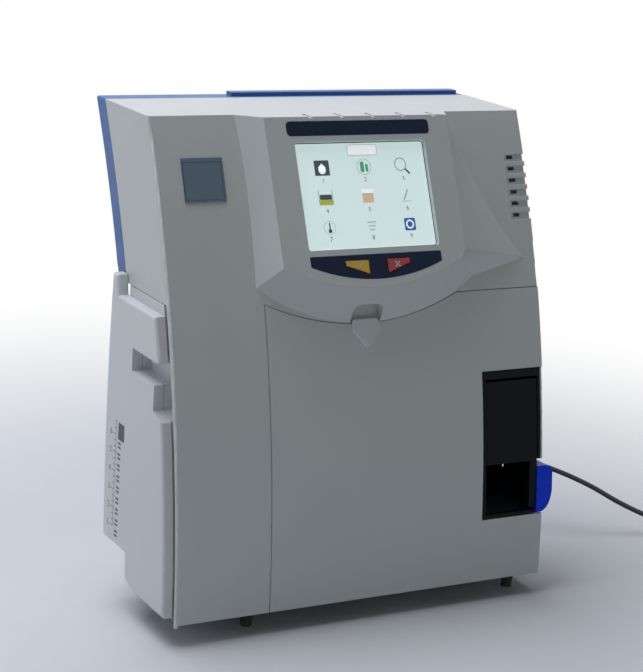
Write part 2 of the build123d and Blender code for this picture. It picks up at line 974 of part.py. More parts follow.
def bottle(name, y_front, y_back, z_low, z_high):
    """A blow-moulded bottle with a short neck and cap."""
    with BuildPart() as body:
        block(bottle_left, bottle_right, y_front, y_back, z_low, z_high - 14)
        fillet(edges(), radius=bottle_corner)
        neck = ((bottle_left + bottle_right) / 2, (y_front + y_back) / 2)
        rod((*neck, z_high - 15), (*neck, z_high - 9), 7.0)
        rod((*neck, z_high - 9), (*neck, z_high), 9.5)
    finish(body.part, name)


bottle_floor = case_low + pack_case_wall + bottle_gap
bottle_high_floor = case_high_floor + pack_case_wall + bottle_gap
bottle_split = case_step - pack_case_wall - bottle_gap
bottle_rear = case_rear - pack_case_wall - bottle_gap
waste_top = up(128.0)
bottles_top = up(228.0)
bottle("waste_bottle", back(26.0), bottle_split, bottle_floor, waste_top)
bottle("standard_a_bottle", bottle_split + 1.5, bottle_rear, bottle_high_floor, bottles_top)
bottle("standard_b_bottle", back(44.5), bottle_split, waste_top + bottle_gap, bottles_top)


# Sampler housing at the right edge of the door
housing_left = sampler_left + seam_gap
housing_right = inside - seam_gap
housing_low = up(sampler_bottom) + seam_gap
housing_high = up(sampler_top) - seam_gap
housing_back = back(sampler_back)
housing_wall = 2.5
housing_back_wall = 4.0
pivot_z = up(flap_pivot_rise)
pivot_y = face_y(pivot_z, flap_pivot_depth)
cavity_left = housing_left + housing_wall
cavity_right = housing_right - housing_wall
cavity_low = housing_low + housing_wall
cavity_high = housing_high - housing_wall
cavity_back = housing_back - housing_back_wall
fascia_low = up(flap_top) + 2.2
fascia_back = seam_gap + 1.2
flap_left = cavity_left + 0.6
flap_right = cavity_right - 0.6
grip_left = flap_right
with BuildPart() as sampler_housing:
    face_block(housing_left, housing_right, housing_low, housing_high, seam_gap, housing_back)
    face_block(
        cavity_left,
        cavity_right,
        cavity_low,
        cavity_high,
        fascia_back,
        cavity_back,
        mode=Mode.SUBTRACT,
    )
    face_band(cavity_left, cavity_right, cavity_low, fascia_low, -1, fascia_back + 1, mode=Mode.SUBTRACT)
    # Sloping floor of the sample recess
    with BuildSketch(Plane.YZ.offset(cavity_left - 1)) as slope:
        with BuildLine():
            Polyline(
                (face_y(cavity_low, 3), cavity_low - 1),
                (cavity_back + 1, cavity_low - 1),
                (cavity_back + 1, cavity_low + 30),
                close=True,
            )
        make_face()
    extrude(slope.sketch, amount=cavity_right - cavity_left + 2)
    # Slot in the right wall for the grip
    face_band(
        grip_left - 1,
        housing_right + 1,
        housing_low - 1,
        up(grip_notch_top),
        -1,
        grip_notch_depth - 2,
        mode=Mode.SUBTRACT,
    )
    rod(
        (housing_left + 0.5, pivot_y, pivot_z),
        (housing_right - 0.5, pivot_y, pivot_z),
        flap_pin_radius + running_fit,
        mode=Mode.SUBTRACT,
    )
finish(sampler_housing.part, "sampler_housing")

with BuildPart() as flap_pin:
    rod((housing_left + 0.7, pivot_y, pivot_z), (housing_right - 0.7, pivot_y, pivot_z), flap_pin_radius)
finish(flap_pin.part, "sampler_flap_pin")

flap_front = 0.6
arm_width = 7.0
arm_low = up(59.0)
ear_width = 5.0
cheek_width = 2.0
cheek_depth = grip_notch_depth - 1.5
ear_radius = 3.2
with BuildPart() as sampler_flap:
    face_band(flap_left, flap_right, up(flap_bottom), up(flap_top), flap_front, flap_front + flap_thickness)
    face_band(flap_right - arm_width, flap_right, arm_low, up(flap_bottom) + 4, flap_front, flap_front + 5.5)
    # Cheek that closes the grip's slot from inside
    with BuildSketch(Plane.YZ.offset(flap_right - cheek_width)) as cheek:
        with BuildLine():
            Polyline(
                face_point(arm_low, flap_front + 1),
                face_point(arm_low, flap_front + 4),
                face_point(arm_low + cheek_depth / 3, cheek_depth),
                face_point(up(flap_bottom) + 4, cheek_depth),
                face_point(up(flap_bottom) + 4, flap_front + 1),
                close=True,
            )
        make_face()
    extrude(cheek.sketch, amount=cheek_width)
    for x in (flap_left, flap_right - ear_width):
        rod((x, pivot_y, pivot_z), (x + ear_width, pivot_y, pivot_z), ear_radius)
        block(
            x,
            x + ear_width,
            face_y(pivot_z, flap_front + 1.5),
            pivot_y,
            pivot_z - ear_radius,
            pivot_z + 1,
        )
        rod(
            (x - 1, pivot_y, pivot_z),
            (x + ear_width + 1, pivot_y, pivot_z),
            flap_pin_radius + running_fit,
            mode=Mode.SUBTRACT,
        )
finish(sampler_flap.part, "sampler_flap")

# Blue grip, a half-round tab on the flap's arm
grip_right = half_width + grip_proud
grip_low_z = up(sampler_bottom) + 0.8
grip_high_z = up(grip_top)
with BuildPart() as sampler_grip:
    face_band(grip_left, grip_right, grip_low_z, grip_high_z, -0.5, grip_depth)
    with BuildSketch(Plane.XZ) as half_round:
        with BuildLine():
            Polyline((grip_left, grip_low_z), (grip_left, grip_high_z), (grip_right - 6, grip_high_z))
            Spline(
                (grip_right - 6, grip_high_z),
                (grip_right, (grip_low_z + grip_high_z) / 2 - 3),
                (grip_left + 5, grip_low_z),
                tangents=((1, -0.25), (-1, -0.45)),
            )
            Line((grip_left + 5, grip_low_z), (grip_left, grip_low_z))
        make_face()
    extrude(half_round.sketch, amount=full_depth, mode=Mode.INTERSECT)
finish(sampler_grip.part, "sampler_grip")

# Needle and its holder on the back of the flap
holder_low = up(106.0)
holder_high = up(148.0)
holder_x = (flap_left + flap_right - arm_width) / 2
holder_half = 7.0
needle_depth = 9.5
holder_start = face_point(holder_low, needle_depth)
holder_end = face_point(holder_high, needle_depth)
needle_axis = Vector(0, holder_end[0] - holder_start[0], holder_end[1] - holder_start[1]).normalized()
needle_low = Vector(holder_x, *holder_start) - needle_axis * 14
needle_high = Vector(holder_x, *holder_end) + needle_axis * 5
with BuildPart() as needle_holder:
    face_band(
        holder_x - holder_half,
        holder_x + holder_half,
        holder_low,
        holder_high,
        flap_front + flap_thickness,
        needle_depth + 5,
    )
    rod(
        tuple(needle_low - needle_axis),
        tuple(needle_high + needle_axis),
        needle_radius + running_fit,
        mode=Mode.SUBTRACT,
    )
finish(needle_holder.part, "needle_holder")

with BuildPart() as needle:
    rod(tuple(needle_low), tuple(needle_high), needle_radius)
finish(needle.part, "sample_needle")

# Upright bulkhead behind the door
bulkhead_front = back(bulkhead_y)
bulkhead_back = bulkhead_front + bulkhead_thickness
bulkhead_left = bay_wall_x + seam_gap
bulkhead_right = inside - seam_gap
bulkhead_top = ledge_z - 2.0
pump_z = up(pump_rise)
shaft_hole_radius = 7.0
with BuildPart() as bulkhead:
    block(bulkhead_left, bulkhead_right, bulkhead_front, bulkhead_back, tray_top, bulkhead_top)
    rod(
        (pump_x, bulkhead_front - 1, pump_z),
        (pump_x, bulkhead_back + 1, pump_z),
        shaft_hole_radius,
        mode=Mode.SUBTRACT,
    )
finish(bulkhead.part, "bulkhead")

# Electrode rack with five plug-in electrodes and a locking lever
rack_low = up(rack_floor)
rack_inner_left = rack_left + rack_wall
rack_inner_right = rack_inner_left + electrode_count * electrode_pitch
rack_right = rack_inner_right + rack_wall
rack_high = rack_low + 50.0
rack_front = bulkhead_front - 28.0
electrode_low = rack_low + rack_wall + 0.3
electrode_front = bulkhead_front - rack_wall - 0.3 - electrode_depth
lever_x = rack_left - seam_gap
lever_y = bulkhead_front - 16.0
lever_z = rack_high - 8.0
lever_pin_radius = 2.0
with BuildPart() as electrode_rack:
    block(rack_left, rack_right, bulkhead_front - rack_wall, bulkhead_front, rack_low, rack_high)
    block(rack_left, rack_right, rack_front, bulkhead_front, rack_low, rack_low + rack_wall)
    for x in (rack_left, rack_inner_right):
        block(x, x + rack_wall, rack_front, bulkhead_front, rack_low, rack_high - 2)
    rod((rack_left - 8, lever_y, lever_z), (rack_left + 1, lever_y, lever_z), lever_pin_radius)
finish(electrode_rack.part, "electrode_rack")

for index in range(electrode_count):
    centre_x = rack_inner_left + (index + 0.5) * electrode_pitch
    centre_y = electrode_front + electrode_depth / 2
    with BuildPart() as electrode:
        block(
            centre_x - electrode_width / 2,
            centre_x + electrode_width / 2,
            electrode_front,
            electrode_front + electrode_depth,
            electrode_low,
            electrode_low + electrode_height,
        )
        fillet(edges().filter_by(Axis.Z), radius=1.5)
        top_z = electrode_low + electrode_height
        rod((centre_x, centre_y, top_z), (centre_x, centre_y, top_z + 6), 6.0)
        rod((centre_x, centre_y, top_z + 6), (centre_x, centre_y, top_z + 10), 3.0)
    finish(electrode.part, "electrode_" + str(index + 1))

lever_width = 5.0
lever_length = 25.0
lever_half_depth = 4.0
lever_hub_radius = 6.0
lever_tab_width = 11.0
lever_tab_height = 5.0
with BuildPart() as rack_lever:
    lever_left = lever_x - lever_width
    lever_front = lever_y - lever_half_depth
    lever_back = lever_y + lever_half_depth
    lever_low = lever_z - lever_length
    rod((lever_left, lever_y, lever_z), (lever_x, lever_y, lever_z), lever_hub_radius)
    block(lever_left, lever_x, lever_front, lever_back, lever_low, lever_z)
    block(
        lever_x - lever_tab_width,
        lever_x,
        lever_front,
        lever_back,
        lever_low - lever_tab_height,
        lever_low,
    )
    rod(
        (lever_left - 1, lever_y, lever_z),
        (lever_x + 1, lever_y, lever_z),
        lever_pin_radius + running_fit,
        mode=Mode.SUBTRACT,
    )
finish(rack_lever.part, "rack_lever")

# Peristaltic pump on the bulkhead
pump_half = 32.0
pump_plate_thickness = 6.0
pump_plate_front = bulkhead_front - pump_plate_thickness
tube_track_radius = rotor_pitch_radius + roller_radius + 0.5 + pump_tube_radius
track_inner = tube_track_radius + pump_tube_radius + 0.5
track_outer = track_inner + 4.0
roller_length = 12.0
rotor_disc_thickness = 2.5
rotor_back = pump_plate_front - 1.0
rotor_front = rotor_back - 2 * rotor_disc_thickness - roller_length - 0.6
roller_back = rotor_back - rotor_disc_thickness - 0.3
roller_front = roller_back - roller_length
pump_mid_y = (roller_front + roller_back) / 2
with BuildPart() as pump_head:
    block(
        pump_x - pump_half,
        pump_x + pump_half,
        pump_plate_front,
        bulkhead_front,
        pump_z - pump_half,
        pump_z + pump_half,
    )
    fillet(edges().filter_by(Axis.Y), radius=6)
    rod((pump_x, rotor_front, pump_z), (pump_x, pump_plate_front + 1, pump_z), track_outer)
    rod(
        (pump_x, rotor_front - 1, pump_z),
        (pump_x, pump_plate_front, pump_z),
        track_inner,
        mode=Mode.SUBTRACT,
    )
    block(
        pump_x - track_outer - 1,
        pump_x + track_outer + 1,
        rotor_front - 1,
        pump_plate_front,
        pump_z - track_outer - 1,
        pump_z,
        mode=Mode.SUBTRACT,
    )
    rod(
        (pump_x, rotor_front, pump_z),
        (pump_x, bulkhead_front + 1, pump_z),
        shaft_hole_radius - 1,
        mode=Mode.SUBTRACT,
    )
finish(pump_head.part, "pump_head")

motor_half = 21.0
motor_front = bulkhead_back
motor_length = 36.0
with BuildPart() as pump_motor:
    block(
        pump_x - motor_half,
        pump_x + motor_half,
        motor_front,
        motor_front + motor_length,
        pump_z - motor_half,
        pump_z + motor_half,
    )
    fillet(edges().filter_by(Axis.Y), radius=4)
    rod(
        (pump_x, motor_front - 1, pump_z),
        (pump_x, motor_front + 14, pump_z),
        pump_shaft_radius + running_fit,
        mode=Mode.SUBTRACT,
    )
finish(pump_motor.part, "pump_motor")

rotor_radius = 19.0
rotor_hub_radius = 8.0
roller_places = [
    (
        pump_x + rotor_pitch_radius * sin(2 * pi * index / roller_count),
        pump_z + rotor_pitch_radius * cos(2 * pi * index / roller_count),
    )
    for index in range(roller_count)
]
with BuildPart() as pump_rotor:
    for y in (rotor_front, rotor_back - rotor_disc_thickness):
        rod((pump_x, y, pump_z), (pump_x, y + rotor_disc_thickness, pump_z), rotor_radius)
    rod((pump_x, rotor_front, pump_z), (pump_x, rotor_back, pump_z), rotor_hub_radius)
    rod((pump_x, rotor_front - 4, pump_z), (pump_x, rotor_front, pump_z), rotor_hub_radius)
    rod((pump_x, rotor_back, pump_z), (pump_x, motor_front + 13, pump_z), pump_shaft_radius)
    for x, z in roller_places:
        rod((x, rotor_front + 1, z), (x, rotor_back - 1, z), roller_pin_radius)
finish(pump_rotor.part, "pump_rotor")

for index, (x, z) in enumerate(roller_places):
    with BuildPart() as roller:
        rod((x, roller_front, z), (x, roller_back, z), roller_radius)
        rod(
            (x, roller_front - 1, z),
            (x, roller_back + 1, z),
            roller_pin_radius + running_fit,
            mode=Mode.SUBTRACT,
        )
    finish(roller.part, "pump_roller_" + str(index + 1))

pump_tube_leg = 26.0
with BuildPart() as pump_tube:
    leg_low = pump_z - pump_tube_leg
    tube_left = pump_x - tube_track_radius
    tube_right = pump_x + tube_track_radius
    with BuildLine() as pump_path:
        Line((tube_left, pump_mid_y, leg_low), (tube_left, pump_mid_y, pump_z))
        ThreePointArc(
            (tube_left, pump_mid_y, pump_z),
            (pump_x, pump_mid_y, pump_z + tube_track_radius),
            (tube_right, pump_mid_y, pump_z),
        )
        Line((tube_right, pump_mid_y, pump_z), (tube_right, pump_mid_y, leg_low))
    with BuildSketch(Plane(origin=pump_path.line @ 0, z_dir=pump_path.line % 0)):
        Circle(pump_tube_radius)
    sweep(path=pump_path.line)
finish(pump_tube.part, "pump_tube")

# Pinch valves
valve_z = up(valve_rise)
valve_length = 22.0
valve_front = bulkhead_front - valve_length
for index, x in enumerate(valve_places):
    with BuildPart() as valve:
        rod((x, valve_front, valve_z), (x, bulkhead_front, valve_z), valve_radius)
        rod((x, valve_front - 5, valve_z), (x, valve_front, valve_z), valve_radius * 0.55)
    finish(valve.part, "pinch_valve_" + str(index + 1))


# Tubing inside the access bay
def hose(name, points, bend):
    """A hose of straight runs and round bends through the given points."""
    with BuildPart() as run:
        with BuildLine() as path:
            FilletPolyline(*points, radius=bend)
        with BuildSketch(Plane(origin=path.line @ 0, z_dir=path.line % 0)):
            Circle(tube_radius)
        sweep(path=path.line)
    finish(run.part, name)


hose_y = bulkhead_front - 7.5
rack_side_z = rack_low + 26.0
hose(
    "standard_hose",
    [
        (bay_wall_x + 0.3, dock_y, dock_z),
        (bay_wall_x + 9.0, dock_y, dock_z),
        (bay_wall_x + 9.0, hose_y, dock_z + 34),
        (valve_places[0], hose_y, valve_z - 20),
        (valve_places[0], hose_y, valve_z - valve_radius - 0.3),
    ],
    5.0,
)
hose(
    "feed_hose",
    [
        (valve_places[1], hose_y, valve_z - valve_radius - 0.3),
        (valve_places[1], hose_y, rack_side_z),
        (rack_left - 0.3, hose_y, rack_side_z - 4),
    ],
    8.0,
)
with BuildPart() as sample_hose:
    rod(
        (rack_right + seam_gap, hose_y, rack_side_z),
        (housing_left - seam_gap, hose_y, rack_side_z),
        tube_radius,
    )
finish(sample_hose.part, "sample_hose")

# Main circuit board behind the bulkhead
board_front = back(100.0)
board_thickness = 1.6
board_left = -4.0
board_right = 148.0
board_low = up(96.0)
board_high = up(214.0)
standoff_radius = 3.5
standoff_inset = 8.0


def component(x, z, width, height, depth):
    """A component on the board's front, centred at x and z from the board's corner."""
    block(
        board_left + x - width / 2,
        board_left + x + width / 2,
        board_front - depth,
        board_front,
        board_low + z - height / 2,
        board_low + z + height / 2,
    )


connector_height = 9.0
with BuildPart() as main_board:
    block(board_left, board_right, board_front, board_front + board_thickness, board_low, board_high)
    # Processor, memory and transformer
    component(30.0, 30.0, width=26.0, height=26.0, depth=3.0)
    component(80.0, 34.0, width=18.0, height=18.0, depth=3.0)
    component(118.0, 30.0, width=22.0, height=40.0, depth=12.0)
    # Two rows of connectors along the upper edge
    component(40.0, 86.0, width=44.0, height=connector_height, depth=connector_height)
    component(104.0, 90.0, width=50.0, height=connector_height, depth=connector_height)
finish(main_board.part, "main_board")

# Rear panel with the power socket, the rocker switch and the data port
panel_front = back(rear_panel_y)
panel_back = panel_front + rear_panel_thickness
panel_left = bay_wall_x + seam_gap
panel_right = inside - seam_gap
panel_low = tray_top
panel_high = ledge_z - 1.0
socket_z = up(socket_rise)
socket_half = 7.5
switch_half_width = 7.0
switch_half_height = 11.0
port_half_width = 15.5
port_half_height = 6.0
screw_head_radius = 3.0
screw_inset = 8.0
louver_count = 8
louver_pitch = 9.0
louver_height = 4.0
louver_left = -70.0
louver_right = -14.0
louver_low = up(130.0)
with BuildPart() as rear_panel:
    block(panel_left, panel_right, panel_front, panel_back, panel_low, panel_high)
    for x in (board_left + standoff_inset, board_right - standoff_inset):
        for z in (board_low + standoff_inset, board_high - standoff_inset):
            rod((x, board_front + board_thickness, z), (x, panel_front + 1, z), standoff_radius)
    for x, half_x, half_z in (
        (socket_x, socket_half, socket_half),
        (switch_x, switch_half_width, switch_half_height),
        (port_x, port_half_width, port_half_height),
    ):
        block(
            x - half_x,
            x + half_x,
            panel_front - 1,
            panel_back + 1,
            socket_z - half_z,
            socket_z + half_z,
            mode=Mode.SUBTRACT,
        )
    for index in range(louver_count):
        z = louver_low + index * louver_pitch
        block(
            louver_left,
            louver_right,
            panel_front - 1,
            panel_back + 1,
            z,
            z + louver_height,
            mode=Mode.SUBTRACT,
        )
finish(rear_panel.part, "rear_panel")

with BuildPart() as rear_screws:
    for x in (panel_left + screw_inset, panel_right - screw_inset):
        for z in (panel_low + screw_inset, panel_high - screw_inset):
            with Locations(Plane(origin=(x, panel_back, z), z_dir=(0, 1, 0))):
                Cylinder(screw_head_radius, 2.0, align=(Align.CENTER, Align.CENTER, Align.MIN))
                Cylinder(1.2, 2.0, mode=Mode.SUBTRACT, align=(Align.CENTER, Align.CENTER, Align.CENTER))
finish(rear_screws.part, "rear_screws")

socket_bore = 2.85
socket_pin_radius = 1.0
socket_face = panel_back + 2.0
with BuildPart() as power_socket:
    block(
        socket_x - socket_half + 0.2,
        socket_x + socket_half - 0.2,
        panel_front - 10,
        panel_back,
        socket_z - socket_half + 0.2,
        socket_z + socket_half - 0.2,
    )
    block(
        socket_x - socket_half - 1.5,
        socket_x + socket_half + 1.5,
        panel_back,
        socket_face,
        socket_z - socket_half - 1.5,
        socket_z + socket_half + 1.5,
    )
    rod(
        (socket_x, socket_face - 10, socket_z),
        (socket_x, socket_face + 1, socket_z),
        socket_bore,
        mode=Mode.SUBTRACT,
    )
    rod((socket_x, socket_face - 11, socket_z), (socket_x, socket_face - 1, socket_z), socket_pin_radius)
finish(power_socket.part, "power_socket")

bezel_wall = 1.5
rocker_half_width = switch_half_width - bezel_wall - 0.4
rocker_half_height = switch_half_height - bezel_wall - 0.6
rocker_pivot_y = panel_front - 1.0
rocker_pivot_z = socket_z
rocker_tilt = 9.0
with BuildPart() as switch_bezel:
    block(
        switch_x - switch_half_width + 0.1,
        switch_x + switch_half_width - 0.1,
        panel_front - 12,
        panel_back,
        socket_z - switch_half_height + 0.1,
        socket_z + switch_half_height - 0.1,
    )
    block(
        switch_x - switch_half_width - 1.5,
        switch_x + switch_half_width + 1.5,
        panel_back,
        panel_back + 1.5,
        socket_z - switch_half_height - 1.5,
        socket_z + switch_half_height + 1.5,
    )
    block(
        switch_x - switch_half_width + bezel_wall,
        switch_x + switch_half_width - bezel_wall,
        panel_front - 10,
        panel_back + 2,
        socket_z - switch_half_height + bezel_wall,
        socket_z + switch_half_height - bezel_wall,
        mode=Mode.SUBTRACT,
    )
finish(switch_bezel.part, "switch_bezel")

with BuildPart() as power_switch:
    with BuildSketch(Plane.YZ.offset(switch_x - rocker_half_width)):
        with BuildLine():
            Polyline(
                (rocker_pivot_y - 2.5, rocker_pivot_z - rocker_half_height * 0.75),
                (panel_back + 0.6, rocker_pivot_z - rocker_half_height),
                (panel_back - 0.2, rocker_pivot_z),
                (panel_back + 0.6, rocker_pivot_z + rocker_half_height),
                (rocker_pivot_y - 2.5, rocker_pivot_z + rocker_half_height * 0.75),
                close=True,
            )
        make_face()
    extrude(amount=2 * rocker_half_width)
finish(power_switch.part, "power_switch")

with BuildPart() as data_port:
    block(
        port_x - port_half_width + 0.2,
        port_x + port_half_width - 0.2,
        panel_front - 8,
        panel_back + 0.5,
        socket_z - port_half_height + 0.2,
        socket_z + port_half_height - 0.2,
    )
    block(port_x - 9, port_x + 9, panel_back - 4, panel_back + 6, socket_z - 4, socket_z + 4)
    block(port_x - 8, port_x + 8, panel_back, panel_back + 7, socket_z - 3, socket_z + 3, mode=Mode.SUBTRACT)
    for side in (-1, 1):
        screw_x = port_x + side * 12.2
        rod((screw_x, panel_back, socket_z), (screw_x, panel_back + 4, socket_z), 2.0)
finish(data_port.part, "data_port")

# Low-voltage lead: plug, free stretch, coil and plug-in adapter
lead_radius = lead_diameter / 2
plug_y = socket_face + 0.3
plug_body_length = 21.0
relief_length = 18.0
with BuildPart() as lead_plug:
    rod((socket_x, plug_y - 9.5, socket_z), (socket_x, plug_y + 1, socket_z), socket_bore - 0.1)
    rod((socket_x, plug_y, socket_z), (socket_x, plug_y + plug_body_length, socket_z), 5.5)
    with Locations(Plane(origin=(socket_x, plug_y + plug_body_length, socket_z), z_dir=(0, 1, 0))):
        Cone(4.2, 2.9, relief_length, align=(Align.CENTER, Align.CENTER, Align.MIN))
    rod(
        (socket_x, plug_y - 10, socket_z),
        (socket_x, plug_y, socket_z),
        socket_pin_radius + 0.1,
        mode=Mode.SUBTRACT,
    )
finish(lead_plug.part, "lead_plug")

lead_start = (socket_x, plug_y + plug_body_length + relief_length, socket_z)
floor_z = lead_radius + 0.05
coil_y = back(101.5)
coil_start_x = coil_x - lead_diameter
lead_points = [
    lead_start,
    (socket_x, back(191.0), socket_z),
    (141.0, back(214.0), up(66.0)),
    (173.0, back(217.0), up(60.0)),
    (204.0, back(200.0), up(54.0)),
    (233.0, back(168.0), up(47.0)),
    (264.0, back(131.0), up(40.0)),
    (294.0, back(110.0), up(27.5)),
    (319.0, back(96.0), up(12.0)),
    (345.0, back(82.0), up(0.0)),
    (373.0, back(73.0), floor_z + 1.4),
    (404.0, coil_y - coil_outer_radius, floor_z),
    (coil_start_x, coil_y - coil_outer_radius, floor_z),
]
arc_share = 0.45


def bend_radii(points):
    """For each inner point, the largest even bend that its two runs allow."""
    radii = []
    for before, corner, after in zip(points, points[1:], points[2:]):
        arriving = Vector(*corner) - Vector(*before)
        leaving = Vector(*after) - Vector(*corner)
        turn = radians(arriving.get_angle(leaving))
        radii.append(arc_share * min(arriving.length, leaving.length) / tan(turn / 2))
    return radii


lead_radii = bend_radii(lead_points)
print("lead bends in lead diameters:", [round(radius / lead_diameter, 1) for radius in lead_radii])
with BuildPart() as power_lead:
    with BuildLine() as lead_path:
        FilletPolyline(*lead_points, radius=lead_radii)
    with BuildSketch(Plane(origin=lead_path.line @ 0, z_dir=lead_path.line % 0)):
        Circle(lead_radius)
    sweep(path=lead_path.line)
finish(power_lead.part, "power_lead")
lead_length = lead_path.wire().length
lead_volume = pi * lead_radius ** 2 * lead_length
print("lead length", round(lead_length, 1), "volume ratio", round(power_lead.part.volume / lead_volume, 4))


def coil_half_turns_list():
    """Radius, starting height and rise of every half turn, inward and out again."""
    inward = [(coil_outer_radius - index * coil_turn_step / 2, 0.0, 0.0) for index in range(coil_half_turns)]
    inner_radius = coil_outer_radius - coil_half_turns * coil_turn_step / 2
    climb = [(inner_radius, 0.0, coil_layer_rise)]
    outward = [(radius, coil_layer_rise, 0.0) for radius, low, rise in reversed(inward[1:])]
    return inward + climb + outward


with BuildPart() as power_lead_coil:
    with BuildLine() as coil_path:
        x = coil_x
        y = coil_y - coil_outer_radius
        Line((coil_start_x, y, floor_z), (x, y, floor_z))
        side = 1
        for radius, low, rise in coil_half_turns_list():
            start_z = floor_z + low
            ThreePointArc(
                (x, y, start_z),
                (x + side * radius, y + side * radius, start_z + rise / 2),
                (x, y + side * 2 * radius, start_z + rise),
            )
            y = y + side * 2 * radius
            side = -side
        coil_end = (x + coil_end_straight, y, floor_z + coil_layer_rise)
        Line((x, y, floor_z + coil_layer_rise), coil_end)
    with BuildSketch(Plane(origin=coil_path.line @ 0, z_dir=coil_path.line % 0)):
        Circle(lead_radius)
    sweep(path=coil_path.line)
finish(power_lead_coil.part, "power_lead_coil")


def least_gap(path, skip):
    """Least clear gap of a tube to itself, measured between points of its centre line."""
    count = int(path.length / 1.5)
    points = [path @ (index / count) for index in range(count + 1)]
    spacing = path.length / count
    least = path.length
    for first in range(count):
        for second in range(first + int(skip / spacing), count + 1):
            least = min(least, (points[first] - points[second]).length)
    return least - lead_diameter


coil_wire = coil_path.wire()
print("coil length", round(coil_wire.length, 1), "end", [round(value, 2) for value in coil_end])
print("coil least gap", round(least_gap(coil_wire, 25.0), 2))
coil_volume = pi * lead_radius ** 2 * coil_wire.length
print("coil volume ratio", round(power_lead_coil.part.volume / coil_volume, 4))

adapter_length = 72.0
adapter_half_width = 16.0
adapter_height = 44.0
adapter_relief = 14.0
adapter_gap = 0.1
adapter_x = coil_end[0] + adapter_gap + adapter_relief
with BuildPart() as adapter:
    block(
        adapter_x,
        adapter_x + adapter_length,
        coil_end[1] - adapter_half_width,
        coil_end[1] + adapter_half_width,
        0,
        adapter_height,
    )
    fillet(edges().filter_by(Axis.Z), radius=6)
    fillet(faces().sort_by(Axis.Z)[-1].edges(), radius=4)
    with Locations(Plane(origin=(coil_end[0] + adapter_gap, coil_end[1], coil_end[2]), z_dir=(1, 0, 0))):
        Cone(2.9, 4.5, adapter_relief, align=(Align.CENTER, Align.CENTER, Align.MIN))
finish(adapter.part, "plug_in_adapter")

pin_pitch = 19.0
pin_length = 19.0
with BuildPart() as adapter_pins:
    for side in (-1, 1):
        x = adapter_x + adapter_length * 0.62
        z = adapter_height / 2 + side * pin_pitch / 2
        pin_y = coil_end[1] + adapter_half_width
        rod((x, pin_y, z), (x, pin_y + pin_length, z), 2.0)
finish(adapter_pins.part, "adapter_pins")
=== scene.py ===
# %% [markdown]
# # Dressing an electrolyte analyzer
# The exact solids of this bench analyzer come from a CAD model. This lesson loads them as a
# fixed frame and gives them what a camera sees: moulded plastic, a lit screen, tubing, a power
# lead and light. Every length is in metres, and every piece goes where the frame says.

# %% Load the frame
from math import atan2, cos, pi, radians, sin

import bmesh
import bpy
from mathutils import Matrix, Vector


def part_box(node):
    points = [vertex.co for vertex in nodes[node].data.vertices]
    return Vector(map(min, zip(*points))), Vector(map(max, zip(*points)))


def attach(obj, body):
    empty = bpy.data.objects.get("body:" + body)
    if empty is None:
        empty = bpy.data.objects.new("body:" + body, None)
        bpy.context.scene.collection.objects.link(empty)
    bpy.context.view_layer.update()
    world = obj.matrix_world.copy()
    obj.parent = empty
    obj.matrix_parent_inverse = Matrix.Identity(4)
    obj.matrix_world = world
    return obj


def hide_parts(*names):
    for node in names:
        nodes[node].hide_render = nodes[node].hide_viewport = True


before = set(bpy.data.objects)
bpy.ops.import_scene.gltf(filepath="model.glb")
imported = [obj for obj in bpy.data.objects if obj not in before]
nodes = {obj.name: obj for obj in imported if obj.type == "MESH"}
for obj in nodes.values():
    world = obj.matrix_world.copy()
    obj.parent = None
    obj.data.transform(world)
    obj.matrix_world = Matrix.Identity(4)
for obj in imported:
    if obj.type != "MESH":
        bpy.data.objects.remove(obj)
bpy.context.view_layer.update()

mm = 0.001

# %% [markdown]
# ## The camera
# The photograph's camera was found by fitting straight edges of known size: it stands to the
# left of the front, a little above the analyzer, and is turned slightly anticlockwise. A long
# lens keeps the uprights almost parallel. The three directions of the picture become the
# columns of the camera's matrix, which is easier to trust than three angles typed into the
# rotation fields.

# %% Camera
camera_place = Vector((-0.7824, -1.3550, 0.6238))
camera_yaw = radians(29.92)
camera_pitch = radians(14.97)
camera_roll = radians(-4.07)
ahead = Vector((
    sin(camera_yaw) * cos(camera_pitch),
    cos(camera_yaw) * cos(camera_pitch),
    -sin(camera_pitch),
))
level_right = Vector((cos(camera_yaw), -sin(camera_yaw), 0))
level_down = ahead.cross(level_right)
picture_right = level_right * cos(camera_roll) + level_down * sin(camera_roll)
picture_down = level_down * cos(camera_roll) - level_right * sin(camera_roll)
camera_data = bpy.data.cameras.new("camera")
camera_data.lens = 108.32
camera_data.sensor_width = 36
camera = bpy.data.objects.new("camera", camera_data)
bpy.context.scene.collection.objects.link(camera)
camera.matrix_world = Matrix.Translation(camera_place) @ Matrix(
    (picture_right, -picture_down, -ahead)
).transposed().to_4x4()
bpy.context.scene.camera = camera
print("camera looks along", [round(value, 3) for value in ahead])

# %% [markdown]
# ## Colours and nodes
# Paint charts and screens give colours as sRGB hex values, while Blender's sockets want linear
# light, so one function turns the first into the second. A second small function adds a node,
# sets its properties and either fills or links its inputs. With it a material reads from top to
# bottom like a recipe. Nearly every finish here has a tone that varies a little, a gloss that
# varies a little and a relief over rounded edges, so a third function holds the three together.


# %% Colour and node helpers
def colour(hex_value):
    """Linear red, green, blue and alpha of an sRGB hex value."""
    channels = [int(hex_value[start:start + 2], 16) / 255 for start in (1, 3, 5)]
    light = [c / 12.92 if c <= 0.04045 else ((c + 0.055) / 1.055) ** 2.4 for c in channels]
    return (*light, 1.0)


def scaled(tone, red, green, blue):
    """A hex tone in linear light, with each channel scaled and none over one."""
    channels = zip(colour(tone), (red, green, blue))
    return (*(min(channel * factor, 1) for channel, factor in channels), 1)


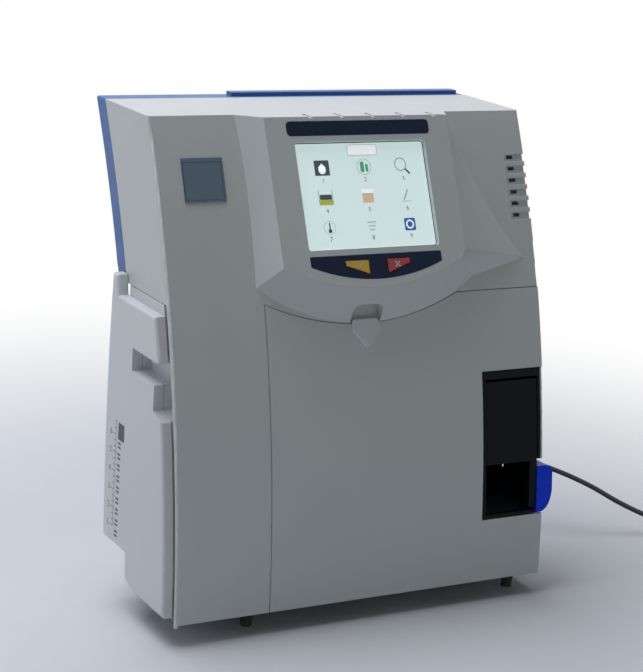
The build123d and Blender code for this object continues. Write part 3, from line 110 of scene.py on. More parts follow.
def add(tree, kind, inputs=None, **settings):
    """Adds a node, sets its properties, and fills or links its inputs."""
    made = tree.nodes.new(kind)
    for name, value in settings.items():
        setattr(made, name, value)
    for socket, value in (inputs or {}).items():
        if isinstance(value, bpy.types.NodeSocket):
            tree.links.new(value, made.inputs[socket])
        else:
            made.inputs[socket].default_value = value
    return made


def start_material(name):
    """An empty node material: its tree, its shader and its object coordinates."""
    material = bpy.data.materials.new(name)
    material.use_nodes = True
    tree = material.node_tree
    shader = tree.nodes["Principled BSDF"]
    place = add(tree, "ShaderNodeTexCoord").outputs["Object"]
    return material, tree, shader, place


def surface(tree, shader, tones=None, gloss=None, relief=None, edge=None):
    """Lets patterns vary the tone and the gloss, and raise a relief over rounded edges.

    The tones are a pattern and two colours, the gloss is a pattern, a roughness and its spread,
    and the relief is a pattern, a strength and a height in millimetres, as the edge is.
    """
    if tones:
        pattern, first, second = tones
        mix = add(tree, "ShaderNodeMix", {0: pattern, 6: first, 7: second}, data_type="RGBA")
        tree.links.new(mix.outputs[2], shader.inputs["Base Color"])
    if gloss:
        pattern, roughness, spread = gloss
        limits = {0: pattern, 1: 0.3, 2: 0.7, 3: roughness - spread, 4: roughness + spread}
        varied = add(tree, "ShaderNodeMapRange", limits)
        tree.links.new(varied.outputs[0], shader.inputs["Roughness"])
    if edge:
        rounded = add(tree, "ShaderNodeBevel", {"Radius": edge * mm}, samples=4)
        tree.links.new(rounded.outputs[0], shader.inputs["Normal"])
    if relief:
        pattern, strength, height = relief
        sockets = {"Strength": strength, "Distance": height * mm, "Height": pattern}
        if edge:
            sockets["Normal"] = rounded.outputs[0]
        bump = add(tree, "ShaderNodeBump", sockets)
        tree.links.new(bump.outputs[0], shader.inputs["Normal"])


print("white plastic in linear light:", [round(value, 3) for value in colour("#D6D8DB")])

# %% [markdown]
# ## Moulded plastic
# Almost everything a user touches here is injection-moulded ABS. The steel mould is spark
# eroded, so the plastic comes out with a fine orange-peel grain that spreads highlights, and
# thick and thin places cool differently, which leaves very soft clouds of tone. Sharp mould
# edges don't exist either: a Bevel node rounds every edge in the shading by a few tenths of a
# millimetre, so edges catch a thin line of light. The real grain is 0.3 mm, too fine for the
# render, so it is drawn three to five times as coarse. A noise's scale counts its blots per
# metre, so it is written as one over their size.


# %% Moulded plastic
def moulded(name, tone, roughness, grain=1.2, relief=0.12, cloud=0.03, edge=0.5, level=0.5):
    """Moulded plastic: a tone with soft clouds, its grain in millimetres and its rounded edges."""
    material, tree, shader, place = start_material(name)
    darker = scaled(tone, 1 - cloud, 1 - cloud, 1 - cloud * 0.7)
    lighter = scaled(tone, 1 + cloud, 1 + cloud, 1 + cloud)
    sizes = {"clouds": 71.4, "rub": 22.2, "peel": grain}
    details = {"clouds": 3.0, "rub": 4.0, "peel": 2.0}
    made = {}
    for kind, size in sizes.items():
        sockets = {"Vector": place, "Scale": 1 / (size * mm), "Detail": details[kind]}
        made[kind] = add(tree, "ShaderNodeTexNoise", sockets).outputs["Fac"]
    surface(
        tree,
        shader,
        tones=(made["clouds"], darker, lighter),
        gloss=(made["rub"], roughness, 0.05),
        relief=(made["peel"], relief, 0.2),
        edge=edge,
    )
    shader.inputs["IOR"].default_value = 1.53
    shader.inputs["Specular IOR Level"].default_value = level
    return material


white_abs = moulded("moulded_abs_white", "#CFD4D3", 0.46)
trim_abs = moulded("moulded_abs_trim", "#DEE2E3", 0.36, relief=0.06, cloud=0.02)
pack_abs = moulded("moulded_abs_pack_white", "#DBDDE0", 0.42, edge=0.8)
blue_abs = moulded("moulded_abs_blue", "#2A62A8", 0.42)
black_abs = moulded("moulded_abs_black", "#0A0F16", 0.42, cloud=0.08, relief=0.10, level=0.08)
grey_abs = moulded("moulded_abs_grey", "#8B9095", 0.5)
charcoal_abs = moulded("moulded_abs_charcoal", "#24272C", 0.42, cloud=0.08, level=0.3)
grip_blue = moulded("moulded_polycarbonate_blue", "#0044FF", 0.25, relief=0.03, level=0.12)
yellow_cap = moulded("moulded_key_cap_yellow", "#E3B12C", 0.35, relief=0.05, edge=0.4)
red_cap = moulded("moulded_key_cap_red", "#B52E33", 0.35, relief=0.05, edge=0.4)
acetal = moulded("turned_acetal_white", "#E6E5DF", 0.28, relief=0.04, edge=0.2)
plastics = [made.name for made in bpy.data.materials if made.name.startswith("moulded")]
print("moulded plastics made:", len(plastics))

# %% [markdown]
# ## Printed film
# The bar above the screen and the crescent below it are polyester film, printed navy on the
# back and laid into shallow seats. Light passes through a clear layer before it meets the ink,
# which a faint clear coat over a dark base imitates, and the film is never perfectly flat, so a
# long, faint wave goes into the bump.


# %% Printed film
def film(name, tone):
    """Back-printed polyester film: dark ink under a glossy clear layer."""
    material, tree, shader, place = start_material(name)
    ink_scale = 1 / (11.1 * mm)
    wave_scale = 1 / (25 * mm)
    ink = add(tree, "ShaderNodeTexNoise", {"Vector": place, "Scale": ink_scale, "Detail": 2.0})
    wave = add(tree, "ShaderNodeTexNoise", {"Vector": place, "Scale": wave_scale, "Detail": 1.0})
    thick = scaled(tone, 0.9, 0.9, 0.92)
    thin = scaled(tone, 1.1, 1.1, 1.08)
    surface(
        tree,
        shader,
        tones=(ink.outputs["Fac"], thick, thin),
        relief=(wave.outputs["Fac"], 0.08, 0.3),
        edge=0.3,
    )
    shader.inputs["Roughness"].default_value = 0.32
    shader.inputs["Specular IOR Level"].default_value = 0.1
    shader.inputs["Coat Weight"].default_value = 0.05
    shader.inputs["Coat Roughness"].default_value = 0.12
    return material


navy_film = film("printed_polyester_film_navy", "#0C2240")
print("film:", navy_film.name)

# %% [markdown]
# ## Metals
# The sheet parts inside are steel with a grey powder coat, which is a paint: rough, with a
# slight orange peel. Shafts, screws and the motor are bare steel that was turned or brushed,
# and the scratches run one way. A noise that is squeezed along one axis by a Mapping node gives
# such scratches, and it drives both the roughness and a faint bump. The badge plate is anodised
# aluminium, brushed along its width.


# %% Metals
def brushed(name, tone, roughness, along, depth=0.08):
    """Bare metal with scratches along one axis: 0 is X, 1 is Y and 2 is Z."""
    material, tree, shader, place = start_material(name)
    scratch_width = 0.5 * mm
    scratch_length = 30 * mm
    squeeze = [1 / scratch_width] * 3
    squeeze[along] = 1 / scratch_length
    squeezed = add(tree, "ShaderNodeMapping", {"Vector": place, "Scale": squeeze})
    sockets = {"Vector": squeezed.outputs[0], "Scale": 1.0, "Detail": 3.0}
    scratches = add(tree, "ShaderNodeTexNoise", sockets).outputs["Fac"]
    surface(
        tree,
        shader,
        tones=(scratches, scaled(tone, 0.92, 0.92, 0.92), colour(tone)),
        gloss=(scratches, roughness, 0.08),
        relief=(scratches, depth, 0.1),
        edge=0.25,
    )
    shader.inputs["Metallic"].default_value = 1.0
    return material


badge_metal = brushed("anodised_aluminium_slate", "#4A5663", 0.5, 0)
steel_x = brushed("brushed_steel_along_x", "#B3B5B7", 0.34, 0)
steel_y = brushed("turned_steel_along_y", "#B3B5B7", 0.32, 1)
needle_steel = brushed("ground_steel_needle", "#C4C7CA", 0.18, 2, depth=0.02)
gold_pins = brushed("plated_brass", "#C9A45A", 0.25, 1, depth=0.03)
powder_grey = moulded("powder_coated_steel_grey", "#B7BBBF", 0.5, grain=1.6, relief=0.2, edge=0.4)
print("metals:", badge_metal.name, steel_x.name, steel_y.name, needle_steel.name, gold_pins.name)

# %% [markdown]
# ## Rubber, tubing, bottles and cells
# These are the soft and the cloudy materials. Moulded rubber is nearly black and matt. Silicone
# tubing and blow-moulded polyethylene are milky: light enters, scatters and leaves nearby,
# which subsurface scattering gives, with a radius of a few millimetres. The electrode cells are
# clear acrylic with a slight blue tint, so part of their light is transmitted. The lead's PVC
# sheath is satin, with faint marks along it. The circuit board is green solder mask, which lies
# over copper tracks and shows them as paler, slightly raised lines.


# %% Milky and clear materials
def milky(name, tone, roughness, depth, clear=0.0, ior=1.45):
    """A material that scatters light inside, to a depth in millimetres, and passes some of it."""
    material, tree, shader, place = start_material(name)
    haze_scale = 1 / (16.7 * mm)
    haze = add(tree, "ShaderNodeTexNoise", {"Vector": place, "Scale": haze_scale, "Detail": 3.0})
    surface(
        tree,
        shader,
        tones=(haze.outputs["Fac"], scaled(tone, 0.94, 0.94, 0.94), colour(tone)),
        gloss=(haze.outputs["Fac"], roughness, 0.04),
        edge=0.4,
    )
    shader.inputs["Subsurface Weight"].default_value = 0.35
    shader.inputs["Subsurface Radius"].default_value = (depth * mm, depth * mm, depth * mm)
    shader.inputs["Subsurface Scale"].default_value = 1.0
    shader.inputs["Transmission Weight"].default_value = clear
    shader.inputs["IOR"].default_value = ior
    return material


silicone = milky("silicone_tubing", "#DAD9CF", 0.3, 1.5, clear=0.2, ior=1.41)
bottle_white = milky("blow_moulded_polyethylene", "#E6E8E4", 0.4, 3.0, clear=0.1, ior=1.54)
acrylic = milky("cast_acrylic_blue_tint", "#C5D5DE", 0.12, 2.0, clear=0.45, ior=1.49)
foot_rubber = moulded("moulded_rubber_black", "#1A1A1B", 0.72, grain=1.5, relief=0.25, edge=0.6)
print("milky and clear:", silicone.name, bottle_white.name, acrylic.name)

# %% Sheath of the lead
sheath, tree, shader, place = start_material("satin_pvc_sheath_black")
mark_scale = 1 / (6.25 * mm)
marks = add(tree, "ShaderNodeTexNoise", {"Vector": place, "Scale": mark_scale, "Detail": 3.0})
surface(
    tree,
    shader,
    tones=(marks.outputs["Fac"], colour("#0D1117"), colour("#1B2027")),
    gloss=(marks.outputs["Fac"], 0.37, 0.07),
    relief=(marks.outputs["Fac"], 0.1, 0.1),
)
print("sheath:", sheath.name)

# %% Circuit board
board_mask, tree, shader, place = start_material("solder_mask_green")
track_sockets = {
    "Vector": place,
    "Color1": colour("#1B5B3C"),
    "Color2": colour("#174E34"),
    "Mortar": colour("#3E8A5E"),
    "Scale": 1.0,
    "Mortar Size": 0.35 * mm,
    "Brick Width": 9 * mm,
    "Row Height": 2.5 * mm,
}
tracks = add(tree, "ShaderNodeTexBrick", track_sockets, offset=0.37)
tree.links.new(tracks.outputs["Color"], shader.inputs["Base Color"])
surface(tree, shader, relief=(tracks.outputs["Fac"], 0.4, 0.05))
shader.inputs["Roughness"].default_value = 0.35
print("board:", board_mask.name)

# %% [markdown]
# ## Materials onto the frame
# The CAD nodes keep their exact meshes. Dressing them is only a matter of putting a material in
# each one's slot, so a short table of finish and nodes is the clearest way, and a last line
# checks that none is bare.

# %% Dress the CAD nodes
finishes = {
    white_abs: ["shell", "door"],
    trim_abs: ["door_pull"],
    pack_abs: ["pack_face", "pack_case"],
    blue_abs: ["back_cover"],
    navy_film: ["name_bar", "key_panel"],
    badge_metal: ["badge_plate"],
    yellow_cap: ["yes_key"],
    red_cap: ["no_key"],
    black_abs: [
        "sampler_housing",
        "sampler_flap",
        "pump_head",
        "power_socket",
        "switch_bezel",
        "power_switch",
    ],
    charcoal_abs: ["needle_holder", "pack_ports", "plug_in_adapter", "lead_plug"],
    grip_blue: ["sampler_grip", "rack_lever"],
    grey_abs: ["base_tray", "electrode_rack", "dock_block"],
    powder_grey: ["bay_liner", "bulkhead", "rear_panel"],
    foot_rubber: ["feet"],
    steel_x: ["door_hinge_rod", "sampler_flap_pin", "display_case"],
    steel_y: [
        "pump_motor",
        "pump_rotor",
        "pinch_valve_1",
        "pinch_valve_2",
        "rear_screws",
        "data_port",
    ],
    needle_steel: ["sample_needle"],
    acetal: ["pump_roller_1", "pump_roller_2", "pump_roller_3"],
    acrylic: ["electrode_" + str(number) for number in range(1, 6)],
    bottle_white: ["waste_bottle", "standard_a_bottle", "standard_b_bottle"],
    silicone: ["standard_hose", "feed_hose", "sample_hose", "pump_tube"],
    board_mask: ["main_board"],
    gold_pins: ["adapter_pins"],
    sheath: ["power_lead", "power_lead_coil"],
}


def dress(thing, material):
    """Puts one material in the first slot of an object."""
    if thing.data.materials:
        thing.data.materials[0] = material
    else:
        thing.data.materials.append(material)


for material, names in finishes.items():
    for name in names:
        dress(nodes[name], material)
dressed = {name for names in finishes.values() for name in names}
print("not yet dressed:", sorted(set(nodes) - dressed))

# %% [markdown]
# ## Shapes for the small pieces
# Flat printed marks, trims and knobs are all cut from a few kinds of blank: a plate with round
# corners, a disc, a ring and a turned profile. Each starts from a bmesh operator and is shaped
# by extrude, bevel or spin, and `piece` turns the finished blank into an object that rides on a
# body of the frame.


# %% Blanks
def thicken(flat, low, high):
    """Gives a flat shape its thickness along Z, from low to high."""
    bmesh.ops.translate(flat, vec=(0, 0, low), verts=flat.verts)
    grown = bmesh.ops.extrude_face_region(flat, geom=flat.faces[:])
    lifted = [part for part in grown["geom"] if isinstance(part, bmesh.types.BMVert)]
    bmesh.ops.translate(flat, vec=(0, 0, high - low), verts=lifted)
    bmesh.ops.recalc_face_normals(flat, faces=flat.faces)
    return flat


def outline(width, height, corner, segments):
    """A flat rectangle with round corners."""
    flat = bmesh.new()
    bmesh.ops.create_grid(flat, x_segments=1, y_segments=1, size=0.5)
    bmesh.ops.scale(flat, vec=(width, height, 1), verts=flat.verts)
    if corner:
        bmesh.ops.bevel(
            flat,
            geom=flat.verts[:],
            offset=corner,
            offset_type="OFFSET",
            affect="VERTICES",
            segments=segments,
            profile=0.5,
            material=-1,
        )
    return flat


def plate(width, height, corner, low, high, centre=(0, 0)):
    """A plate with round corners."""
    flat = outline(width, height, corner, 5)
    bmesh.ops.translate(flat, vec=(*centre, 0), verts=flat.verts)
    return thicken(flat, low, high)


def border(width, height, corner, rim, low, high):
    """A raised border: a flat plate whose inset middle is left out."""
    flat = outline(width, height, corner, 4)
    middle = flat.faces[:]
    bmesh.ops.inset_region(
        flat,
        faces=middle,
        thickness=rim,
        use_boundary=True,
        use_even_offset=True,
    )
    bmesh.ops.delete(flat, geom=middle, context="FACES_ONLY")
    return thicken(flat, low, high)


def disc(radius, low, high, centre=(0, 0), sides=32):
    """A round or many-sided disc."""
    flat = bmesh.new()
    bmesh.ops.create_circle(flat, cap_ends=True, segments=sides, radius=radius)
    bmesh.ops.translate(flat, vec=(*centre, 0), verts=flat.verts)
    return thicken(flat, low, high)


def turned(profile, steps=48):
    """A profile of (radius, height) points, spun once round Z."""
    lathe = bmesh.new()
    points = [lathe.verts.new((radius, 0, height)) for radius, height in profile]
    edges = [lathe.edges.new(pair) for pair in zip(points, points[1:])]
    bmesh.ops.spin(
        lathe,
        geom=points + edges,
        cent=(0, 0, 0),
        axis=(0, 0, 1),
        angle=2 * pi,
        steps=steps,
        use_merge=True,
    )
    bmesh.ops.remove_doubles(lathe, verts=lathe.verts, dist=0.001 * mm)
    bmesh.ops.recalc_face_normals(lathe, faces=lathe.faces)
    return lathe


def ring(inner, outer, low, high, centre=(0, 0), steps=40):
    """A flat ring."""
    band = turned([(inner, low), (outer, low), (outer, high), (inner, high), (inner, low)], steps)
    bmesh.ops.translate(band, vec=(*centre, 0), verts=band.verts)
    return band


def turn_flat(shape, angle, centre=(0, 0)):
    """Turns a shape in its plane about a point."""
    spin = Matrix.Rotation(angle, 3, "Z")
    bmesh.ops.rotate(shape, cent=(*centre, 0), matrix=spin, verts=shape.verts)
    return shape


def joined(*shapes):
    """Several shapes as one."""
    whole = bmesh.new()
    for shape in shapes:
        part = bpy.data.meshes.new("part")
        shape.to_mesh(part)
        shape.free()
        whole.from_mesh(part)
        bpy.data.meshes.remove(part)
    return whole


def piece(name, shape, material, body, place=None, soft_edges=False):
    """Makes a shape into an object in its place, which rides on a body."""
    shape.transform(place or Matrix())
    mesh = bpy.data.meshes.new(name)
    shape.to_mesh(mesh)
    shape.free()
    made = bpy.data.objects.new(name, mesh)
    bpy.context.scene.collection.objects.link(made)
    mesh.materials.append(material)
    if soft_edges:
        mesh.shade_smooth()
        mesh.set_sharp_from_angle(angle=radians(35))
    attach(made, body)
    return made


print("blanks are ready")

# %% [markdown]
# ## The pod's own plane
# The screen, the bar and the keys all lie on the pod's face, which leans back by 24.3 degrees.
# A matrix carries flat work from the XY plane onto that face: X stays to the operator's right,
# Y runs up the face and Z stands out of it. The origin is the middle of the pod's top edge. The
# same helper serves the sides and the back, with a turn.


# %% Pod plane
def facing(x, y, z, lean=0.0, turn=0.0):
    """Stands flat work up at a point in millimetres: it leans back and then turns."""
    upright = Matrix.Rotation(radians(turn), 4, "Z") @ Matrix.Rotation(radians(90 - lean), 4, "X")
    return Matrix.Translation((x * mm, y * mm, z * mm)) @ upright


pod_place = facing(6, -15.7082, 386, 24.3)
screen_drop = 62 * mm
screen_place = pod_place @ Matrix.Translation((0, -screen_drop, 0))
glass_top = -3.7 * mm
glass_low, glass_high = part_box("display_screen")
print("glass spans", [round(value, 4) for value in (*glass_low, *glass_high)])
print("screen centre", [round(value, 4) for value in screen_place @ Vector((0, 0, glass_top))])

# %% [markdown]
# ## The lit screen
# A backlit display is a lamp behind a picture: it gives its own light, so its colours go into
# the emission as well as the base colour. The picture is a pale mint ground with a title field
# and nine symbols in three rows. The symbols here are plain ones made for this lesson, and each
# has a plain number below it.


# %% Light of the screen
def screen_ink(name, tone, strength=0.62):
    """A colour of the lit picture, under its polished cover."""
    material, tree, shader, place = start_material(name)
    dot_scale = 1 / (40 * mm)
    dots = add(tree, "ShaderNodeTexNoise", {"Vector": place, "Scale": dot_scale, "Detail": 1.0})
    dimmer = scaled(tone, 0.94, 0.96, 0.97)
    surface(tree, shader, tones=(dots.outputs["Fac"], dimmer, colour(tone)))
    glow = shader.inputs["Base Color"].links[0].from_socket
    tree.links.new(glow, shader.inputs["Emission Color"])
    shader.inputs["Emission Strength"].default_value = strength
    shader.inputs["Roughness"].default_value = 0.22
    return material


ground_ink = screen_ink("lcd_mint_ground", "#D3E6E3")
white_ink = screen_ink("lcd_white", "#F1F7F6")
dark_ink = screen_ink("lcd_dark", "#39424A", 0.35)
grey_ink = screen_ink("lcd_grey", "#8C9A9C", 0.45)
green_ink = screen_ink("lcd_green", "#3DA574", 0.45)
blue_ink = screen_ink("lcd_blue", "#2558A8", 0.45)
sand_ink = screen_ink("lcd_sand", "#D9B79A", 0.5)
lime_ink = screen_ink("lcd_lime", "#AEB63A", 0.45)
dress(nodes["display_screen"], ground_ink)
inks = [made.name for made in bpy.data.materials if made.name.startswith("lcd")]
print("screen inks:", len(inks))

# %% Ground and title field
ground = glass_top + 0.02 * mm
ink_low = ground + 0.10 * mm
ink_high = ground + 0.16 * mm
top_ink = ground + 0.20 * mm
screen_ground = piece(
    "screen_ground",
    plate(115.8 * mm, 84.4 * mm, 3 * mm, ground, ink_low),
    ground_ink,
    "analyzer",
    screen_place,
)
# The thin dark border round the ground is painted shadow: the shade that falls in the narrow gap at
# the edge of the pod's opening, drawn as a dark rim of the picture.
gap_shadow_ink = screen_ink("lcd_edge_dark", "#141A22", 0.05)
gap_shadow_shape = border(115.9 * mm, 84.5 * mm, 3 * mm, 0.8 * mm, ink_low, ink_high)
piece("screen_painted_gap_shadow", gap_shadow_shape, gap_shadow_ink, "analyzer", screen_place)
title_centre = (2.0 * mm, 35.8 * mm)
piece(
    "screen_title_rim",
    plate(26.4 * mm, 8.6 * mm, 1.6 * mm, ink_low, ink_high, title_centre),
    grey_ink,
    "analyzer",
    screen_place,
)
piece(
    "screen_title_field",
    plate(25.6 * mm, 7.8 * mm, 1.3 * mm, ink_high, top_ink, title_centre),
    white_ink,
    "analyzer",
    screen_place,
)
print("title field at", title_centre)

# %% Nine symbols
column_x = (-35.4 * mm, 1.8 * mm, 36.0 * mm)
row_y = (22.4 * mm, -0.6 * mm, -24.2 * mm)


def stroke(width, height, centre, low=ink_low, high=ink_high):
    """A plain bar of ink."""
    return plate(width * mm, height * mm, 0, low, high, centre)


def spot(column, row, across=0.0, up=0.0):
    """A point near a symbol's middle, with offsets in millimetres."""
    return (column_x[column] + across * mm, row_y[row] + up * mm)


def draw(name, shape, ink):
    """One inked shape on the screen."""
    return piece("screen_" + name, shape, ink, "analyzer", screen_place)


# A drop on a dark tile
draw("drop_tile", plate(13 * mm, 12 * mm, 0.6 * mm, ink_low, ink_high, spot(0, 0)), dark_ink)
drop_tip = spot(0, 0, 0, 0.4)
drop_point = turn_flat(stroke(4.6, 4.6, drop_tip, ink_high, top_ink), pi / 4, drop_tip)
draw("drop", joined(disc(3.2 * mm, ink_high, top_ink, spot(0, 0, 0, -1.6)), drop_point), white_ink)
# A test tube in a ring
draw("tube_ring", ring(6.0 * mm, 6.4 * mm, ink_low, ink_high, spot(1, 0)), grey_ink)
draw("tube", plate(3.4 * mm, 8.6 * mm, 1.6 * mm, ink_low, ink_high, spot(1, 0, -1.6)), green_ink)
short_tube = plate(2.4 * mm, 6.4 * mm, 1.1 * mm, ink_low, ink_high, spot(1, 0, 2.4, -0.8))
draw("tube_two", short_tube, green_ink)
# A magnifier
draw("lens", ring(4.6 * mm, 5.4 * mm, ink_low, ink_high, spot(2, 0, -1.2, 1.2)), grey_ink)
handle = stroke(5.6, 1.5, spot(2, 0, 4.4, -4.4))
draw("lens_handle", turn_flat(handle, -pi / 4, spot(2, 0, 4.4, -4.4)), dark_ink)
# A beaker with two layers
beaker_top = plate(10.5 * mm, 4.0 * mm, 0.8 * mm, ink_low, ink_high, spot(0, 1, 0, 0.2))
draw("beaker_top", beaker_top, dark_ink)
draw("beaker_low", stroke(11.0, 4.2, spot(0, 1, 0, -3.9)), lime_ink)
draw("beaker_left", stroke(0.6, 11.5, spot(0, 1, -5.9, 0)), grey_ink)
draw("beaker_right", stroke(0.6, 11.5, spot(0, 1, 5.9, 0)), grey_ink)
# A reagent box
draw("box", stroke(10.0, 7.0, spot(1, 1, 0, -1.8)), sand_ink)
draw("box_lid", stroke(10.0, 3.2, spot(1, 1, 0, 3.6)), white_ink)
draw("box_edge", stroke(10.0, 0.5, spot(1, 1, 0, 1.8), ink_low, top_ink), grey_ink)
# A pencil stroke over a line
draw("pencil", turn_flat(stroke(9.0, 1.0, spot(2, 1)), radians(62), spot(2, 1)), grey_ink)
draw("pencil_line", stroke(8.0, 0.4, spot(2, 1, 0, -5.2)), grey_ink)
# A thermometer in a ring
draw("heat_ring", ring(4.9 * mm, 5.2 * mm, ink_low, ink_high, spot(0, 2)), grey_ink)
draw("heat_bulb", disc(1.6 * mm, ink_low, ink_high, spot(0, 2, 0, -2.6)), dark_ink)
draw("heat_stem", stroke(1.1, 6.4, spot(0, 2, 0, 0.8)), dark_ink)
# A list
for line in range(3):
    list_bar = stroke(8.0 - line * 1.6, 0.7, spot(1, 2, 0, 3.0 - 3 * line))
    draw("list_" + str(line + 1), list_bar, grey_ink)
# A round dial on a blue tile
draw("dial_tile", plate(10 * mm, 10 * mm, 1.4 * mm, ink_low, ink_high, spot(2, 2)), blue_ink)
draw("dial_ring", ring(2.4 * mm, 3.6 * mm, ink_high, top_ink, spot(2, 2)), white_ink)
print("symbols drawn on", len(column_x) * len(row_y), "places")

# %% [markdown]
# ## Plain numbers
# Numbers are text curves first, because a font knows their outlines. Each is turned into a mesh
# while it still lies flat at the origin, and only then moved to its place, so the finished
# piece's object stays at the world's origin like every other piece.


# %% Numbers
size_per_height = 1.4


def number_plate(name, text, height, ink, body, place, low=0.0, thickness=0.05):
    """A flat number as a mesh, in its place on a body."""
    face = bpy.data.curves.new(name + "_face", "FONT")
    face.body = text
    face.size = height * mm * size_per_height
    face.align_x = "CENTER"
    face.align_y = "CENTER"
    face.extrude = thickness * mm / 2
    holder = bpy.data.objects.new(name + "_face", face)
    bpy.context.scene.collection.objects.link(holder)
    bpy.context.view_layer.update()
    ready = holder.evaluated_get(bpy.context.evaluated_depsgraph_get())
    flat = bpy.data.meshes.new_from_object(ready)
    bpy.data.objects.remove(holder)
    shape = bmesh.new()
    shape.from_mesh(flat)
    bpy.data.meshes.remove(flat)
    bmesh.ops.remove_doubles(shape, verts=shape.verts, dist=0.0005 * mm)
    bmesh.ops.translate(shape, vec=(0, 0, low + thickness * mm / 2), verts=shape.verts)
    return piece(name, shape, ink, body, place)


caption_y = (12.4 * mm, -11.2 * mm, -33.4 * mm)
for index in range(9):
    x = column_x[index % 3]
    y = caption_y[index // 3]
    number_plate(
        "screen_number_" + str(index + 1),
        str(index + 1),
        3.4,
        dark_ink,
        "analyzer",
        screen_place @ Matrix.Translation((x, y, 0)),
        low=ink_low,
    )
print("numbers under the symbols:", index + 1)

# %% [markdown]
# ## The two keys and the bare badge
# The keys under the screen are coloured soft-touch caps. They carry a tick and a cross here,
# which anyone can read. The marks ride on the keys' own bodies, so they go down with them. The
# badge on the left is a brushed plate, left bare, with a raised rim.

# %% Marks on the keys
key_top = 1.2 * mm
key_mark_depth = 0.06 * mm
mark_light = moulded(
    "pad_printed_white",
    "#C9CDD2",
    0.5,
    grain=0.8,
    relief=0.03,
    cloud=0.02,
    edge=0.1,
)
yes_centre = (-17.0 * mm, -117.6 * mm)
no_centre = (17.0 * mm, -117.6 * mm)


def key_bar(width, height, centre, angle, across=0.0, up=0.0):
    """A turned bar near a key's middle, a hair above the cap."""
    middle = (centre[0] + across * mm, centre[1] + up * mm)
    rounding = height * mm * 0.4
    bar = plate(width * mm, height * mm, rounding, key_top, key_top + key_mark_depth, middle)
    return turn_flat(bar, radians(angle), middle)


tick = joined(
    key_bar(6.2, 1.2, yes_centre, 48, 1.1, 0.3),
    key_bar(3.0, 1.2, yes_centre, -48, -1.7, -0.8),
)
piece("yes_key_tick", tick, mark_light, "yes_key", pod_place)
cross = joined(key_bar(6.0, 1.2, no_centre, 45), key_bar(6.0, 1.2, no_centre, -45))
piece("no_key_cross", cross, mark_light, "no_key", pod_place)
print("key marks stand", round((key_top + key_mark_depth) * 1000, 2), "mm above the film")

# %% [markdown]
# ## Rim of the badge plate
# The plate is thin sheet with a raised border, pressed in one go. The front it sits on is part
# of a circle of 950 mm radius, so its lean at any height comes from that circle.


# %% Badge rim
face_radius = 950.0
face_centre_y = 854.99
face_centre_z = -23.48


def face_at(z, proud=0.0):
    """Y of the leaning front at a height, and its lean in degrees."""
    rise = z - face_centre_z
    reach = (face_radius ** 2 - rise ** 2) ** 0.5
    return face_centre_y - reach - proud, atan2(rise, reach) * 180 / pi


badge_x = -126.1
badge_z = 340.95
badge_thickness = 1.0
badge_y, badge_lean = face_at(badge_z, badge_thickness)
badge_place = facing(badge_x, badge_y, badge_z, badge_lean)
rim_shape = border(33.0 * mm, 29.8 * mm, 2.0 * mm, 1.1 * mm, -0.3 * mm, 0.35 * mm)
piece("badge_rim", rim_shape, badge_metal, "analyzer", badge_place)
print("badge leans", round(badge_lean, 1), "degrees")

# %% [markdown]
# ## Marks inside the bay
# Each electrode cell carries a coloured band, so that nobody puts it in the wrong place, and a
# plain number. The pinch valves are numbered too. All of these are small printed labels, so
# they are thin plates.

# %% Electrode bands and numbers
label_depth = 0.12 * mm
electrode_front = -50.508
electrode_first_x = 20.3
electrode_pitch = 16.6
band_z = 158.0
card_drop = 10.5 * mm
label_white = moulded("matt_label_white", "#DDE0E2", 0.55, relief=0.04, cloud=0.02, edge=0.1)
number_ink = moulded("printed_number_black", "#1B1E22", 0.6, relief=0.02, edge=0.05, level=0.2)
band_tones = ("#C8433B", "#E0A32B", "#3C9A57", "#2F6FB5", "#7A56A6")
for index, tone in enumerate(band_tones):
    number = str(index + 1)
    ink_name = "printed_band_" + number
    band_ink = moulded(ink_name, tone, 0.4, relief=0.03, cloud=0.02, edge=0.1)
    front = facing(electrode_first_x + electrode_pitch * index, electrode_front, band_z)
    name = "electrode_" + number
    band = plate(13.5 * mm, 5.0 * mm, 0.8 * mm, 0.0, label_depth)
    piece(name + "_band", band, band_ink, "analyzer", front)
    card = plate(9.0 * mm, 9.0 * mm, 1.0 * mm, 0.0, label_depth, (0, -card_drop))
    piece(name + "_card", card, label_white, "analyzer", front)
    number_plate(
        name + "_number",
        number,
        6.0,
        number_ink,
        "analyzer",
        front @ Matrix.Translation((0, -card_drop, 0)),
        low=label_depth,
    )
print("electrode labels:", len(band_tones))

# %% Valve numbers
valve_front = -51.208
valve_z = 165.0
for index, x in enumerate((-62.0, -30.0)):
    front = facing(x, valve_front, valve_z)
    number = str(index + 1)
    name = "pinch_valve_" + number
    piece(name + "_label", disc(5.5 * mm, 0.0, label_depth), label_white, "analyzer", front)
    number_plate(
        name + "_number",
        number,
        5.0,
        number_ink,
        "analyzer",
        front,
        low=label_depth,
    )
print("valve labels at z", valve_z)

# %% [markdown]
# ## Marks at the back and on the pack
# The rocker has a bar on one half and a ring on the other, the usual signs for on and off. The
# data port has nine gold pins in two rows. On the reagent pack, the place of the printed label
# holds a plain level scale, two rows of bars and a dark square here.

# %% Rocker signs
socket_z = 85.0
rocker_x = 84
rocker_face = 24.7918
rocker_gap = 0.16
rocker_reach = 4.6
rocker_lean = atan2(0.8, 8.9) * 180 / pi
mark_y = rocker_face + rocker_gap
upper = facing(rocker_x, mark_y, socket_z + rocker_reach, -rocker_lean, 180)
lower = facing(rocker_x, mark_y, socket_z - rocker_reach, rocker_lean, 180)
bar_shape = plate(0.8 * mm, 4.0 * mm, 0.3 * mm, 0.0, 0.1 * mm)
piece("rocker_bar", bar_shape, mark_light, "switch", upper)
piece("rocker_ring", ring(1.3 * mm, 2.0 * mm, 0.0, 0.1 * mm), mark_light, "switch", lower)
print("rocker halves lean", round(rocker_lean, 1), "degrees")

